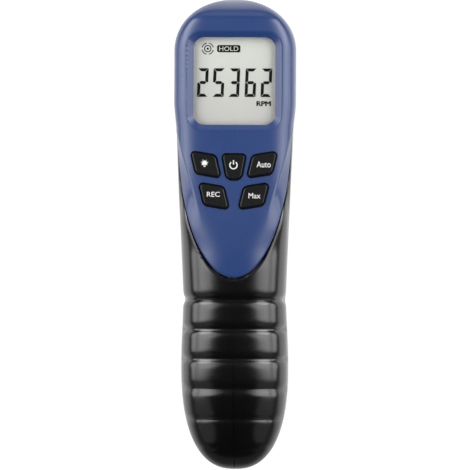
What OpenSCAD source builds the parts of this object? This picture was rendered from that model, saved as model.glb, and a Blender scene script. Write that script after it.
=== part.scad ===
// Pistol-type laser tachometer, lying face up on its nose and the heel of its grip.
// X runs across the instrument, Y along it from butt to crown, Z up out of the display face.
// The pieces are drawn with the display face at z = 0 and lifted by the body depth at the end.

/* [Body] */
// Overall length from butt to crown
body_len = 200; // [192:1:212]
// Depth from the display face to the nose
body_depth = 60; // [58:1:64]
// Width across the head
head_w = 51.6; // [50:0.2:54]
// How much narrower the body is under each shoulder
shoulder_step = 1.1; // [0.6:0.1:1.6]
// Width at the waist, above the ribs
waist_w = 43.7; // [42.5:0.1:46]
// Width at the palm swell
palm_w = 45.6; // [44:0.1:48]
// Wall of the moulded shells
wall = 2.2; // [1.9:0.1:2.5]
// Length of the domed crown
crown_len = 22.2; // [20:0.2:25]
// Angle between the grip's back and the display face
rake = 11; // [9:0.5:12]
// Depth of the grip under the barrel
grip_depth = 38; // [37:0.5:40]
// Gap along the parting line of the cover
seam_gap = 0.6; // [0.3:0.1:0.8]
// How far the cover's tongue reaches below the crown
cover_len = 118.4; // [114:0.2:122]

/* [Grip ribs] */
// Number of grooves across the grip
rib_count = 6; // [3:1:6]
// Spacing of the grooves
rib_pitch = 12.7; // [12:0.1:13.2]
// Depth of the first groove
rib_depth = 1.3; // [0.6:0.1:1.6]

/* [Display] */
// Width of the band beside the window opening
side_band = 8.45; // [8:0.05:10]
// Height of the window opening
window_h = 37.2; // [35:0.1:38]
// Distance from the crown to the middle of the window
window_drop = 34.8; // [34:0.1:36]
// Width of the sloped rim round the window
rim_w = 3.4; // [2.5:0.1:3.6]
// Depth of the sloped rim
rim_depth = 2.6; // [2:0.1:3]
// Thickness of the window pane
pane_t = 1.5; // [1:0.1:2]
// Thickness of the liquid crystal cell
cell_t = 2.4; // [2:0.1:2.8]

/* [Keys] */
// Width of an outer key as a share of the head's width
key_share = 0.198; // [0.175:0.001:0.202]
// Height of a key along the instrument
key_h = 9; // [8:0.1:9.4]
// How far the keys stand proud of the face
key_proud = 0.9; // [0.6:0.1:1.4]
// Travel of a key
key_travel = 0.5; // [0.3:0.1:0.7]
// Gap round a key
key_gap = 0.45; // [0.3:0.05:0.5]

/* [Board] */
// Distance from the side of the waist to the main board
board_margin = 3.35; // [3.1:0.05:4]
// Distance from the crown to the lower end of the main board
board_reach = 97.5; // [96:0.5:99]
// Thickness of the main board
board_t = 1.6; // [1.2:0.1:2]

/* [Optics] */
// Diameter of the nose bezel
bezel_d = 38; // [36:0.5:39]
// Bore of the nose that the bezel plugs into
nose_bore = 34; // [33:0.5:35]
// Diameter of the laser module
laser_d = 9; // [8:0.5:10]
// Length of the laser module
laser_len = 24; // [20:1:26]
// Diameter of the receiver lens
lens_d = 15; // [12:0.5:15]
// Length of the optics holder
holder_len = 17; // [15:0.5:19]

/* [Trigger] */
// Width of the trigger
trigger_w = 13; // [11:0.5:15]
// Length of the trigger along the grip
trigger_len = 20; // [18:0.5:21]
// Travel of the trigger
trigger_travel = 3; // [2:0.5:3.5]
// How far the trigger stands out of the grip
trigger_proud = 5; // [4:0.5:6]

/* [Battery] */
// Width of the block battery
cell_w = 26.5; // [26:0.1:26.5]
// Length of the block battery without its terminals
cell_len = 46.5; // [46:0.1:47]
// Depth of the block battery
cell_depth = 17.5; // [17:0.1:17.5]
// Width of the battery door
door_w = 28; // [27.5:0.5:29]
// Length of the battery door
door_len = 58; // [57:0.5:59]
// Diameter of the hinge pins of the door
pin_d = 3; // [2.5:0.1:3.5]

/* [Fasteners] */
// Diameter of the housing screws
screw_d = 2.9; // [2.5:0.1:3.2]
// Diameter of the board screws
board_screw_d = 2; // [1.8:0.1:2.2]
// Clearance between pieces that fit together
fit = 0.15; // [0.1:0.05:0.2]

/* [Hidden] */

neck_w = head_w - 2 * shoulder_step;

// Places along the instrument
y_top = body_len / 2;
y_butt = -y_top;
y_shoulder = y_top - 0.215 * body_len;
y_neck = y_top - 0.29 * body_len;
y_waist = y_butt + 0.375 * body_len;
y_palm = y_butt + 0.225 * body_len;
y_heel = y_butt + 0.1 * body_len;
y_bend = y_top - 0.46 * body_len;
y_chin = y_top - 0.29 * body_len;
y_tip = y_top - cover_len;
y_window = y_top - window_drop;
y_nose = y_top - 0.1625 * body_len;

// Shape of the sections
spine_h = 20;
chin_run = 13;
crown_round = 9;
brow_run = 13;
bend_run = 24;
head_sharp = 7;
grip_sharp = 2.7;
crown_sharp = 2.1;
butt_sharp = 2.45;
nose_taper = 0.16;

function clamp(t) = min(1, max(0, t));
function ease(t) = let (c = clamp(t)) c * c * (3 - 2 * c);
function mix(a, b, t) = a + (b - a) * t;
// Rounded end of a form: 1 before the end starts, 0 at the end itself
function cap(t, p) = t <= 0 ? 1 : t >= 1 ? 0 : pow(1 - pow(t, p), 1 / p);

// Half width of the outline seen on the display, set in from the outside by s
function half_w(y, s) =
  let (
    upper = mix(waist_w, neck_w, clamp((y - y_waist) / (y_neck - y_waist)))
      + (head_w - neck_w) * ease((y - y_neck) / (y_shoulder - y_neck)),
    lower = mix(palm_w, waist_w, ease((y - y_palm) / (y_waist - y_palm))),
    crown = cap((y - y_top + crown_len) / (crown_len - s), crown_sharp),
    butt = cap((y_palm - y) / (y_palm - y_butt - s), butt_sharp)
  )
  ((y > y_waist ? upper : lower) / 2 - s) * crown * butt;

// Line of the back: level on the display face, then raked along the grip
function back_z(y) =
  let (t = y_bend - y)
  -tan(rake) * (t <= 0 ? 0 : t < bend_run ? t * t / (2 * bend_run) : t - bend_run / 2);
// Line through the widest points of the sections
function mid_z(y) = back_z(y) - spine_h;
// 1 on the barrel, 0 on the grip
function barrel(y, s) = ease((y - y_chin - s + chin_run / 2) / chin_run);
// Line of the front: the grip down to its heel, or the nose of the barrel
function front_z(y, s) =
  let (
    run = (y_chin - chin_run - y) / (y_chin - chin_run - y_heel),
    grip = -mix(grip_depth, body_depth, ease(run))
  )
  mix(grip, -body_depth, barrel(y, s));

function rise(y, s) =
  (spine_h - s) * cap((y - y_top + crown_round) / (crown_round - s), 2)
  * cap((y_palm - y) / (y_palm - y_butt - s), butt_sharp);
function fall(y, s) =
  (mid_z(y) - front_z(y, s) - s) * cap((y - y_top + brow_run) / (brow_run - s), 2)
  * cap((y_heel - y) / (y_heel - y_butt - s), 2);

// Exponent of the section: squarish on the head, rounder on the grip
square_from = 10;
square_run = 32;
function sharp_up(y) = mix(grip_sharp, head_sharp, ease((y - y_tip - square_from) / square_run));
function sharp_down(y) = mix(grip_sharp, head_sharp, barrel(y, 0));

// Crease that runs down from each shoulder, and the flank outside it
crease_slope = 0.265;
crease_drop = 0.7;
crease_round = 0.9;
flank_drop = 12;
flank_fade = 5;
flank_least = 0.3;
crease_in = 0.8;
crease_start = 6;
crease_rise = 9;
crease_end = 30;
crease_fade = 16;
function crease_x(y, s) = neck_w / 2 - crease_in - s - crease_slope * (y_neck - y);
function crease_on(y) =
  ease((y_shoulder - crease_start - y) / crease_rise) * ease((y - y_tip - crease_end) / crease_fade);
function flank_reach(y, a, s, w) =
  let (
    cx = min(crease_x(y, s), w - flank_least),
    run = flank_drop - crease_drop,
    len = norm([run, w - cx]),
    out = (run * cx + (w - cx) * (spine_h - s - crease_drop)) / len + flank_fade * (1 - crease_on(y)),
    away = (run * abs(cos(a)) + (w - cx) * sin(a)) / len
  )
  sin(a) <= 0 || away < 0.05 ? 1000 : out / away;
// Lesser of two lengths, blended over the width k
function soft_min(a, b, k) =
  let (t = clamp(0.5 + (b - a) / (2 * k)))
  mix(b, a, t) - k * t * (1 - t) / 2;

// Grooves across the back of the grip, shallower towards the butt; only the first one runs round the flanks
groove_half = 1.4;
groove_sharp = 1.5;
groove_drop = 2.6;
groove_fade = 0.023;
groove_power = 2.2;
groove_least = 0.15;
flank_end = -0.45;
back_end = 0;
end_run = 0.4;
function groove_y(i) = y_waist - groove_drop - i * rib_pitch;
function groove_side(i, a) = ease((sin(a) - (i == 0 ? flank_end : back_end)) / end_run);
function groove_depth(i) = rib_depth * max(groove_least, 1 - groove_fade * pow(i, groove_power));
function groove_shape(d) = exp(-pow(abs(d) / groove_half, groove_sharp));
function groove(y, a) =
  [for (i = [0 : rib_count - 1]) groove_side(i, a) * groove_depth(i)]
  * [for (i = [0 : rib_count - 1]) groove_shape(y - groove_y(i))];

// Distance from the line of widest points to the surface, in the direction a
function reach(y, a, s) =
  let (
    w = max(0.05, half_w(y, s)),
    h = max(0.05, sin(a) >= 0 ? rise(y, s) : fall(y, s)),
    n = sin(a) >= 0 ? sharp_up(y) : sharp_down(y)
  )
  soft_min(
    pow(pow(abs(cos(a)) / w, n) + pow(abs(sin(a)) / h, n), -1 / n),
    flank_reach(y, a, s, w), crease_round
  )
  - (s == 0 ? groove(y, a) * clamp(w / 8) : 0);

function skin(y, a, s) =
  let (
    r = reach(y, a, s),
    deep = clamp(-r * sin(a) / max(0.1, fall(y, s))),
    narrow = 1 - nose_taper * barrel(y, 0) * pow(deep, 1.5)
  )
  [narrow * r * cos(a), y, mid_z(y) + r * sin(a)];

// Stations along the body, close together at the ends, the ribs and the chin
end_step = 0.12;
rib_steps = [-3, -1.3, 0, 1.3, 3.2];
rib_foot = groove_y(rib_count - 1) + rib_steps[0] - 1;
function stations(s) = concat(
  [for (t = [0, 0.05, 0.18, 0.4, 0.7]) mix(y_butt + s + end_step, rib_foot, t)],
  [for (i = [rib_count - 1 : -1 : 0], t = rib_steps) groove_y(i) + t],
  [for (t = [0.06 : 0.14 : 1]) mix(y_waist + 8, y_chin - chin_run / 2 - 1, t)],
  [for (t = [0.1 : 0.16 : 1]) mix(y_chin - chin_run / 2, y_chin + chin_run / 2, t)],
  [for (t = [0.1 : 0.3 : 1]) mix(y_chin + chin_run / 2, y_top - crown_len, t)],
  [for (t = [0, 0.2, 0.4, 0.55, 0.68, 0.78, 0.86, 0.92, 0.96, 0.985, 1])
    mix(y_top - crown_len, y_top - s - end_step, t)]
);
function core_stations(s) = concat(
  [for (t = [0, 1.2, 4, 9, 16, 26, 38, 52, 64, 76]) y_butt + s + end_step + t],
  [for (t = [0.15 : 0.2 : 1]) mix(y_waist + 5, y_chin - chin_run / 2 + s, t)],
  [for (t = [0.1 : 0.2 : 1]) mix(y_chin - chin_run / 2 + s, y_chin + chin_run / 2 + s, t)],
  [for (t = [0.3, 0.7]) mix(y_chin + chin_run / 2 + s, y_top - crown_len, t)],
  [for (t = [0, 0.3, 0.55, 0.75, 0.88, 0.95, 0.985, 1]) mix(y_top - crown_len, y_top - s - end_step, t)]
);
function ring_angles(n) = [for (i = [0 : n - 1]) 360 * i / n];

// Solid through rings of equal count
module loft(rings) {
  n = len(rings[0]);
  m = len(rings);
  polyhedron(
    points = [for (ring = rings) each ring],
    faces = concat(
      [[for (i = [n - 1 : -1 : 0]) i]],
      [for (j = [0 : m - 2], i = [0 : n - 1])
        each let (k = (i + 1) % n) [
          [j * n + i, (j + 1) * n + k, (j + 1) * n + i],
          [j * n + i, j * n + k, (j + 1) * n + k]
        ]],
      [[for (i = [0 : n - 1]) (m - 1) * n + i]]
    ),
    convexity = 8
  );
}

module body() {
  loft([for (y = stations(0)) [for (a = ring_angles(body_sides)) skin(y, a, 0)]]);
}
// The body set in by s, which is what the shells are hollowed by
module core(s) {
  loft([for (y = core_stations(s)) [for (a = ring_angles(core_sides)) skin(y, a, s)]]);
}

// Free-form mouldings come out as one faceted body
module moulded() { resize([0, 0, 0]) children(); }

module lifted() { translate([0, 0, body_depth]) children(); }

body_sides = 36;
core_sides = 24;
module shell() {
  difference() {
    body();
    core(wall);
  }
}

// Edge of the cover: a half ellipse on the back, then a straight line along the barrel's side
tongue_w = 24.2;
tongue_y = y_neck;
jaw_slope = 0.94;
function tongue_half(y, g) =
  let (t = clamp((tongue_y - y) / (tongue_y - y_tip + g)))
  tongue_w * sqrt(max(0, 1 - t * t));
// Angle at which the section reaches out sideways to x, found by halving
function side_angle(y, x, lo, hi, left) =
  let (a = (lo + hi) / 2)
  left == 0 ? a
  : skin(y, a, 0)[0] > x ? side_angle(y, x, a, hi, left - 1)
  : side_angle(y, x, lo, a, left - 1);
function tongue_angle(y, g) = side_angle(y, tongue_half(y, g), 0, 90, 16);
function edge_angle(y, g) =
  y <= tongue_y ? tongue_angle(y, g)
  : let (start = half_w(tongue_y, 0) * tan(tongue_angle(tongue_y, 0)))
    atan2(start - jaw_slope * (y - tongue_y), half_w(min(y, y_top - crown_len), 0));
function seam_angle(y, g) =
  let (a = edge_angle(y, g))
  a - g * 180 / PI / max(8, reach(min(y, y_top - crown_len), a, 0));

// Wedge that holds what lies inside the cover's edge, g wider all round
module cover_wedge(g) {
  far = 60;
  fan = 12;
  ys = concat(
    [for (t = [0 : 1 / 18 : 1]) mix(y_tip - g + 0.02, tongue_y, 1 - cos(90 * t))],
    [for (t = [0.04 : 0.12 : 1]) mix(tongue_y, y_top - crown_len / 2, t)],
    [y_top + 1]
  );
  loft([for (y = ys)
    let (
      low = seam_angle(y, g),
      r = reach(min(y, y_top - crown_len), low, 0)
    )
    concat(
      [[0, y, mid_z(y)]],
      [for (f = [0.9, 1, 1.1]) [f * r * cos(low), y, mid_z(y) + f * r * sin(low)]],
      [for (i = [0 : fan])
        let (a = mix(low, 180 - low, i / fan))
        [far * cos(a), y, mid_z(y) + far * sin(a)]],
      [for (f = [1.1, 1, 0.9]) [-f * r * cos(low), y, mid_z(y) + f * r * sin(low)]]
    )]);
}

// Rounded rectangle in the plane, by its width, height and corner radius
module rounded(w, h, r) {
  hull()
    for (x = [-1, 1], y = [-1, 1])
      translate([x * (w / 2 - r), y * (h / 2 - r)])
        circle(r, $fn = 24);
}

// Heights inside the head, below the display face
lip_t = 1;
seat_gap = 0.05;
pane_z = -rim_depth - lip_t;
pane_over = 1.5;
pane_r = 5;
window_w = head_w - 2 * side_band;
pane_w = window_w + 2 * pane_over;
pane_h = window_h + 2 * pane_over;
pad_wall = 1.6;
rim_end = 2.6;
window_r = 4.5;
rim_r = 6.5;
cell_z = pane_z - pane_t - seat_gap;
light_z = cell_z - cell_t - seat_gap;
light_t = 3.2;
board_z = light_z - light_t - seat_gap;
board_under = board_z - board_t;
board_r = 8;
head_over = 7.9;
board_w = min(waist_w, head_w - head_over) - 2 * board_margin;

// Keys: the middle, half width at top and bottom, slope and lean of each
key_slope = 9;
key_lean = 13;
key_w = key_share * head_w;
power_w = 0.186 * head_w;
power_foot = 0.1145 * head_w;
power_h = 10.2;
key_r = 1.2;
key_wide_r = 2.8;
KEYS = ["backlight", "power", "auto", "record", "max"];
outer_x = 0.2326 * head_w;
lower_x = 0.1638 * head_w;
outer_y = y_top - window_drop - 35.5;
power_y = outer_y - 1;
lower_y = outer_y - 13.4;
key_at = [
  [-outer_x, outer_y], [0, power_y], [outer_x, outer_y],
  [-lower_x, lower_y], [lower_x, lower_y]
];
function side_corners(i) =
  let (side = key_at[i][0] < 0 ? -1 : 1)
  [for (c = [[-1, 1], [1, 1], [1, -1], [-1, -1]])
    key_at[i] + [
      c[0] * key_w / 2 + c[1] * side * key_h / 2 * tan(key_lean),
      c[1] * key_h / 2 + c[0] * side * key_w / 2 * tan(key_slope)
    ]];
function power_corners() =
  [for (c = [[-1, 1, power_w], [1, 1, power_w], [1, -1, power_foot], [-1, -1, power_foot]])
    key_at[1] + [c[0] * c[2] / 2, c[1] * power_h / 2]];
// Middle of the round of radius r in the corner c between the corners p and n
function round_mid(c, p, n, r) =
  let (
    a = (p - c) / norm(p - c),
    b = (n - c) / norm(n - c),
    m = (a + b) / norm(a + b)
  )
  c + m * r / abs(cross(a, m));
// Outline of key i, grown by g: the two wide corners of an outer key have the larger round
module key_outline(i, g) {
  corners = i == 1 ? power_corners() : side_corners(i);
  wide = i == 1 ? [2, 3] : key_at[i][0] < 0 ? [1, 3] : [0, 2];
  hull()
    for (k = [0 : 3])
      let (r = k == wide[0] || k == wide[1] ? key_wide_r : key_r)
      translate(round_mid(corners[k], corners[(k + 3) % 4], corners[(k + 1) % 4], r))
        circle(r + g, $fn = 20);
}
flange_w = 0.5;
flange_t = 1.2;
flange_z = -wall - fit;
key_bevel = 0.4;
switch_w = 6;
switch_h = 2.2;
switch_top = board_z + switch_h;
plunger_d = 3.4;
plunger_up = 0.9;
plunger_top = switch_top + plunger_up;
plunger_down = 0.9;
foot_d = 5;

module key(i) {
  color([0.08, 0.08, 0.08]) {
    hull() {
      translate([0, 0, flange_z - flange_t])
        linear_extrude(key_proud - flange_z + flange_t - key_bevel) key_outline(i, 0);
      translate([0, 0, key_proud - 0.1])
        linear_extrude(0.1) key_outline(i, -key_bevel);
    }
    translate([0, 0, flange_z - flange_t])
      linear_extrude(flange_t) key_outline(i, key_gap + flange_w);
    translate([key_at[i][0], key_at[i][1], plunger_top])
      cylinder(d = foot_d, h = flange_z - flange_t - plunger_top);
  }
}

module plunger(i) {
  color([0.75, 0.72, 0.66])
    translate([key_at[i][0], key_at[i][1], switch_top - plunger_down])
      cylinder(d = plunger_d, h = plunger_down + plunger_up);
}

module switch_bases() {
  color([0.16, 0.16, 0.17])
    for (at = key_at)
      translate([at[0], at[1], board_z])
        difference() {
          translate([-switch_w / 2, -switch_w / 2, 0])
            cube([switch_w, switch_w, switch_h]);
          translate([0, 0, switch_h - plunger_down - key_travel - fit])
            cylinder(d = plunger_d + 2 * fit, h = switch_h);
        }
}

// Places of the board's four screws, two under the crown and two below the keys
post_d = 5;
post_edge = 3;
frame_wall = 1.1;
frame_r = 2.4;
frame_low = 0.4 * wall;
crown_post_x = 9;
foot_post_x = board_w / 2 - 6;
crown_post_y = y_window + pane_h / 2 + fit + frame_wall + post_d / 2 + 0.4;
board_foot = y_top - board_reach;
board_len = crown_post_y + post_edge - board_foot;
board_y = board_foot + board_len / 2;
board_posts = [
  for (x = [-1, 1]) [x * crown_post_x, crown_post_y],
  for (x = [-1, 1]) [x * foot_post_x, board_foot + post_edge]
];
pilot_len = 6;

module rear_cover() {
  color([0.16, 0.25, 0.5])
    moulded()
      difference() {
        union() {
          intersection() {
            shell();
            cover_wedge(0);
          }
          translate([0, y_window, pane_z - pane_t])
            linear_extrude(-pane_z + pane_t - rim_depth / 2)
              rounded(pane_w + 2 * pad_wall, pane_h + 2 * pad_wall, pane_r);
          for (at = board_posts)
            translate([at[0], at[1], board_z])
              cylinder(d = post_d, h = -board_z - wall / 2, $fn = 14);
        }
        hull() {
          translate([0, y_window, -rim_depth])
            linear_extrude(0.01) rounded(window_w, window_h, window_r);
          translate([0, y_window, 0])
            linear_extrude(1) rounded(window_w + 2 * rim_w, window_h + 2 * rim_end, rim_r);
        }
        translate([0, y_window, -20])
          linear_extrude(20) rounded(window_w, window_h, window_r);
        translate([0, y_window, pane_z - 20])
          linear_extrude(20) rounded(pane_w + 2 * fit, pane_h + 2 * fit, pane_r);
        for (i = [0 : 4]) {
          translate([0, 0, -wall * 2])
            linear_extrude(20) key_outline(i, key_gap);
          translate([0, 0, -wall - 10 - seat_gap])
            linear_extrude(10) key_outline(i, key_gap + flange_w + 0.4);
        }
        for (at = board_posts)
          translate([at[0], at[1], board_z - 1])
            cylinder(d = board_screw_d + 0.1, h = pilot_len + 1, $fn = 12);
      }
}

module display_window() {
  color([0.85, 0.9, 0.9, 0.5])
    translate([0, y_window, pane_z - pane_t])
      linear_extrude(pane_t) rounded(pane_w, pane_h, pane_r);
}

module lcd_cell() {
  color([0.78, 0.8, 0.76])
    translate([-pane_w / 2, y_window - pane_h / 2, cell_z - cell_t])
      cube([pane_w, pane_h, cell_t]);
}

module lcd_frame() {
  color([0.9, 0.9, 0.88])
    translate([0, y_window, board_z])
      difference() {
        linear_extrude(cell_z - board_z - frame_low)
          rounded(pane_w + 2 * fit + 2 * frame_wall, pane_h + 2 * fit + 2 * frame_wall, frame_r);
        translate([0, 0, -1])
          linear_extrude(cell_z - board_z + 2)
            square([pane_w + 2 * fit, pane_h + 2 * fit], center = true);
      }
}

strip_w = 2.2;
strip_y = pane_h / 2 - strip_w / 2 - 0.3;
module contact_strips() {
  color([0.75, 0.45, 0.5])
    for (side = [-1, 1])
      translate([-window_w / 2, y_window + side * strip_y - strip_w / 2, board_z])
        cube([window_w, strip_w, cell_z - cell_t - board_z]);
}

module backlight_panel() {
  h = 2 * (strip_y - strip_w / 2 - fit);
  color([0.95, 0.95, 0.92])
    translate([-pane_w / 2, y_window - h / 2, light_z - light_t])
      cube([pane_w, h, light_t]);
}

module main_board() {
  color([0.1, 0.35, 0.2])
    difference() {
      translate([0, board_y, board_under])
        linear_extrude(board_t) rounded(board_w, board_len, board_r);
      for (at = board_posts)
        translate([at[0], at[1], board_under - 1])
          cylinder(d = board_screw_d + 2 * fit, h = board_t + 2);
    }
}

screw_head_h = 1.5;
module board_screws() {
  color([0.7, 0.7, 0.72])
    for (at = board_posts)
      translate([at[0], at[1], board_under]) {
        translate([0, 0, -screw_head_h])
          cylinder(d = 2 * board_screw_d, h = screw_head_h);
        cylinder(d = board_screw_d, h = board_t + pilot_len - 1);
      }
}

chip_w = 12;
chip_t = 1.6;
module control_chip() {
  color([0.1, 0.1, 0.1])
    translate([-chip_w / 2, board_y - chip_w, board_under - chip_t])
      cube([chip_w, chip_w, chip_t]);
}

crystal = [10.4, 4.4, 3.6];
crystal_r = 2.1;
crystal_up = 12;
module clock_crystal() {
  color([0.75, 0.75, 0.78])
    translate([0, board_y + crystal_up, board_under - crystal[2]])
      linear_extrude(crystal[2]) rounded(crystal[0], crystal[1], crystal_r);
}

// Nose: the bezel plugs into the bore of the two halves and holds the window and the optics
flange_h = 1.6;
spigot_len = 7;
window_d = 30;
front_pane_t = 1.5;
aperture_d = 26;
aperture_h = 2.6;
collar_w = 2.4;
nose_z = -body_depth;
module at_nose() { translate([0, y_nose, nose_z]) children(); }

module nose_bezel() {
  color([0.12, 0.12, 0.13])
    at_nose()
      difference() {
        union() {
          cylinder(d = bezel_d, h = flange_h);
          cylinder(d = nose_bore - 2 * fit, h = flange_h + spigot_len);
        }
        translate([0, 0, -1])
          cylinder(d = aperture_d, h = flange_h + spigot_len + 2);
        translate([0, 0, aperture_h])
          cylinder(d = window_d + 2 * fit, h = spigot_len + 2);
      }
}

module front_window() {
  color([0.5, 0.1, 0.12, 0.6])
    at_nose()
      translate([0, 0, aperture_h])
        cylinder(d = window_d, h = front_pane_t);
}

holder_z = aperture_h + front_pane_t + seat_gap;
laser_y = 8.5;
lens_y = -5.5;
lens_seat = 5;
lens_edge = 1.8;
lens_ledge = 1.25;
lens_bulge = 1.8;
diode_d = 5;
diode_h = 3;
sensor_t = 1.6;
module optics_holder() {
  color([0.15, 0.15, 0.16])
    at_nose()
      difference() {
        translate([0, 0, holder_z])
          cylinder(d = window_d, h = holder_len);
        translate([0, laser_y, 0])
          cylinder(d = laser_d + 0.1, h = 60);
        translate([0, lens_y, 0])
          cylinder(d = lens_d - 2 * lens_ledge, h = 60);
        translate([0, lens_y, 0])
          cylinder(d = lens_d + 0.1, h = holder_z + lens_seat);
      }
}

laser_front = holder_z + 0.6;
aim_d = 5;
aim_depth = 2;
aim_lens_t = 1.4;
module laser_module() {
  color([0.75, 0.6, 0.3])
    at_nose()
      translate([0, laser_y, laser_front])
        difference() {
          cylinder(d = laser_d, h = laser_len);
          translate([0, 0, -1])
            cylinder(d = aim_d, h = aim_depth + 1);
        }
}

module laser_lens() {
  color([0.8, 0.3, 0.3, 0.7])
    at_nose()
      translate([0, laser_y, laser_front + aim_depth - aim_lens_t])
        cylinder(d = aim_d - 0.1, h = aim_lens_t);
}

// Plano-convex lens, its flat side seated on the step of its bore
module receiver_lens() {
  r = lens_d / 2;
  sphere_r = (r * r + lens_bulge * lens_bulge) / (2 * lens_bulge);
  color([0.75, 0.85, 0.9, 0.6])
    at_nose()
      translate([0, lens_y, holder_z + lens_seat])
        mirror([0, 0, 1])
          union() {
            cylinder(d = lens_d, h = lens_edge);
            intersection() {
              translate([0, 0, lens_edge + lens_bulge - sphere_r])
                sphere(sphere_r, $fn = 96);
              translate([0, 0, lens_edge - 0.01])
                cylinder(d = lens_d, h = lens_bulge + 1);
            }
          }
}

sensor_z = holder_z + holder_len;
module photodiode() {
  color([0.2, 0.1, 0.12])
    at_nose()
      translate([0, lens_y, sensor_z - diode_h])
        cylinder(d = diode_d, h = diode_h);
}

module sensor_board() {
  color([0.1, 0.35, 0.2])
    at_nose()
      translate([0, 0, sensor_z])
        difference() {
          cylinder(d = window_d - 1, h = sensor_t);
          translate([0, laser_y, -1])
            cylinder(d = laser_d + 2 * fit, h = sensor_t + 2);
        }
}

// Trigger: slides into the grip against its spring and meets its switch at the end of the travel
trigger_y = y_chin - chin_run / 2 - 14;
trigger_z = front_z(trigger_y, 0);
guide_gap = 0.3;
trigger_flange = 1.6;
trigger_lip = 1.5;
trigger_back = trigger_z + wall + 0.4 + trigger_flange;
spring_gap = 6.5;
trigger_board_z = trigger_back + spring_gap;
switch_y = 5;
spring_y = -5;
spring_d = 6;
spring_wire = 0.7;
tact_h = 2;
tact_d = 3;
tact_w = 6;
post_gap = 0.1;
module at_trigger(z) { translate([0, trigger_y, z]) children(); }

module trigger() {
  nose_r = 4;
  color([0.1, 0.1, 0.11])
    at_trigger(0) {
      rotate([90, 0, 90])
        translate([0, 0, -trigger_w / 2])
          linear_extrude(trigger_w)
            hull() {
              for (side = [-1, 1])
                translate([side * (trigger_len / 2 - nose_r), trigger_z - trigger_proud + nose_r])
                  circle(nose_r, $fn = 48);
              translate([-trigger_len / 2, trigger_back - 1])
                square([trigger_len, 1]);
            }
      translate([0, 0, trigger_back - trigger_flange])
        linear_extrude(trigger_flange)
          square([trigger_w + 2 * trigger_lip, trigger_len + 2 * trigger_lip], center = true);
      translate([0, switch_y, trigger_back - 0.01])
        cylinder(d = tact_d, h = spring_gap - tact_h - trigger_travel - post_gap + 0.01);
    }
}

// Wire wound on a helix between the trigger and its board
module trigger_spring() {
  turns = 4;
  steps = 12 * turns;
  side = 6;
  mean_r = (spring_d - spring_wire) / 2;
  pitch = (spring_gap - spring_wire - 2 * seat_gap) / turns;
  color([0.75, 0.75, 0.78])
    at_trigger(trigger_back + seat_gap + spring_wire / 2)
      translate([0, spring_y, 0])
        loft([for (k = [0 : steps])
          let (turn = 360 * k / 12)
          [for (i = [0 : side - 1])
            let (a = -360 * i / side, r = mean_r + spring_wire / 2 * cos(a))
            [r * cos(turn), r * sin(turn), pitch * turn / 360 + spring_wire / 2 * sin(a)]]]);
}

module trigger_switch() {
  color([0.16, 0.16, 0.17])
    at_trigger(trigger_board_z - tact_h)
      translate([0, switch_y, 0]) {
        cylinder(d = tact_d, h = tact_h);
        translate([-tact_w / 2, -tact_w / 2, tact_h / 2])
          cube([tact_w, tact_w, tact_h / 2]);
      }
}

trigger_board_w = 18;
trigger_board_len = 22;
module trigger_board() {
  color([0.1, 0.35, 0.2])
    at_trigger(trigger_board_z)
      linear_extrude(board_t)
        square([trigger_board_w, trigger_board_len], center = true);
}

// Battery bay: the battery lies along the grip's front with its terminals towards the head
bay_y = y_butt + 0.19 * body_len;
bay_room = 0.6;
cell_tilt = atan2(front_z(bay_y + cell_len, 0) - front_z(bay_y, 0), cell_len);
// Height of the inside of the front wall under the battery's long edges
function floor_z(y) =
  mid_z(y) - fall(y, wall) * pow(1 - pow(cell_w / 2 / half_w(y, wall), sharp_down(y)), 1 / sharp_down(y));
bay_z = bay_room
  + max([for (t = [0 : 0.1 : 1]) floor_z(bay_y + t * cell_len) - t * cell_len * tan(cell_tilt)]);
terminal_x = 6.35;
terminal_h = 2;
terminal_d = [5.7, 7.4];
cell_r = 1.5;
snap_t = 4.5;
snap_r = 2;
bay_gap = 0.2;
rib_t = 1.4;
module in_bay() { translate([0, bay_y, bay_z]) rotate([cell_tilt, 0, 0]) children(); }

module battery() {
  color([0.25, 0.25, 0.27])
    in_bay() {
      translate([0, cell_len, cell_depth / 2])
        rotate([90, 0, 0])
          linear_extrude(cell_len) rounded(cell_w, cell_depth, cell_r);
      for (k = [0, 1])
        translate([(2 * k - 1) * terminal_x, cell_len - 0.01, cell_depth / 2])
          rotate([-90, 0, 0])
            cylinder(d = terminal_d[k], h = terminal_h + 0.01);
    }
}

module battery_snap() {
  color([0.12, 0.12, 0.12])
    in_bay()
      difference() {
        translate([0, cell_len + seat_gap + snap_t, cell_depth / 2])
          rotate([90, 0, 0])
            linear_extrude(snap_t) rounded(cell_w - 1, cell_depth - 2.5, snap_r);
        for (k = [0, 1])
          translate([(2 * k - 1) * terminal_x, cell_len, cell_depth / 2])
            rotate([-90, 0, 0])
              cylinder(d = terminal_d[k] + 2 * fit, h = terminal_h + fit);
      }
}

// Ribs of the two halves that the battery lies between
rib_start = 6.5;
rib_reach = 12;
module cradle() {
  in_bay() {
    translate([-cell_w, 3, cell_depth + bay_gap])
      cube([2 * cell_w, cell_len - 6, rib_t]);
    translate([-cell_w, -bay_gap - rib_t, rib_start])
      cube([2 * cell_w, rib_t, cell_depth - rib_start]);
    for (side = [-1, 1], y = [4, cell_len - 10])
      translate([side * (cell_w + rib_reach + 2 * bay_gap) / 2 - rib_reach / 2, y, rib_start])
        cube([rib_reach, rib_t, cell_depth - rib_start]);
  }
}

// Battery door in the front of the grip, hinged at its lower end
door_gap = 0.3;
door_y = bay_y - 7;
hinge_y = door_y + 2.5;
hinge_z = front_z(hinge_y, 0) + 7.5;
hinge_r = norm([hinge_y - door_y, hinge_z - front_z(door_y, 0)]);
knuckle_d = 5.4;
pin_len = 1.8;
module at_hinge() { translate([0, hinge_y, hinge_z]) rotate([0, 90, 0]) children(); }

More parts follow.
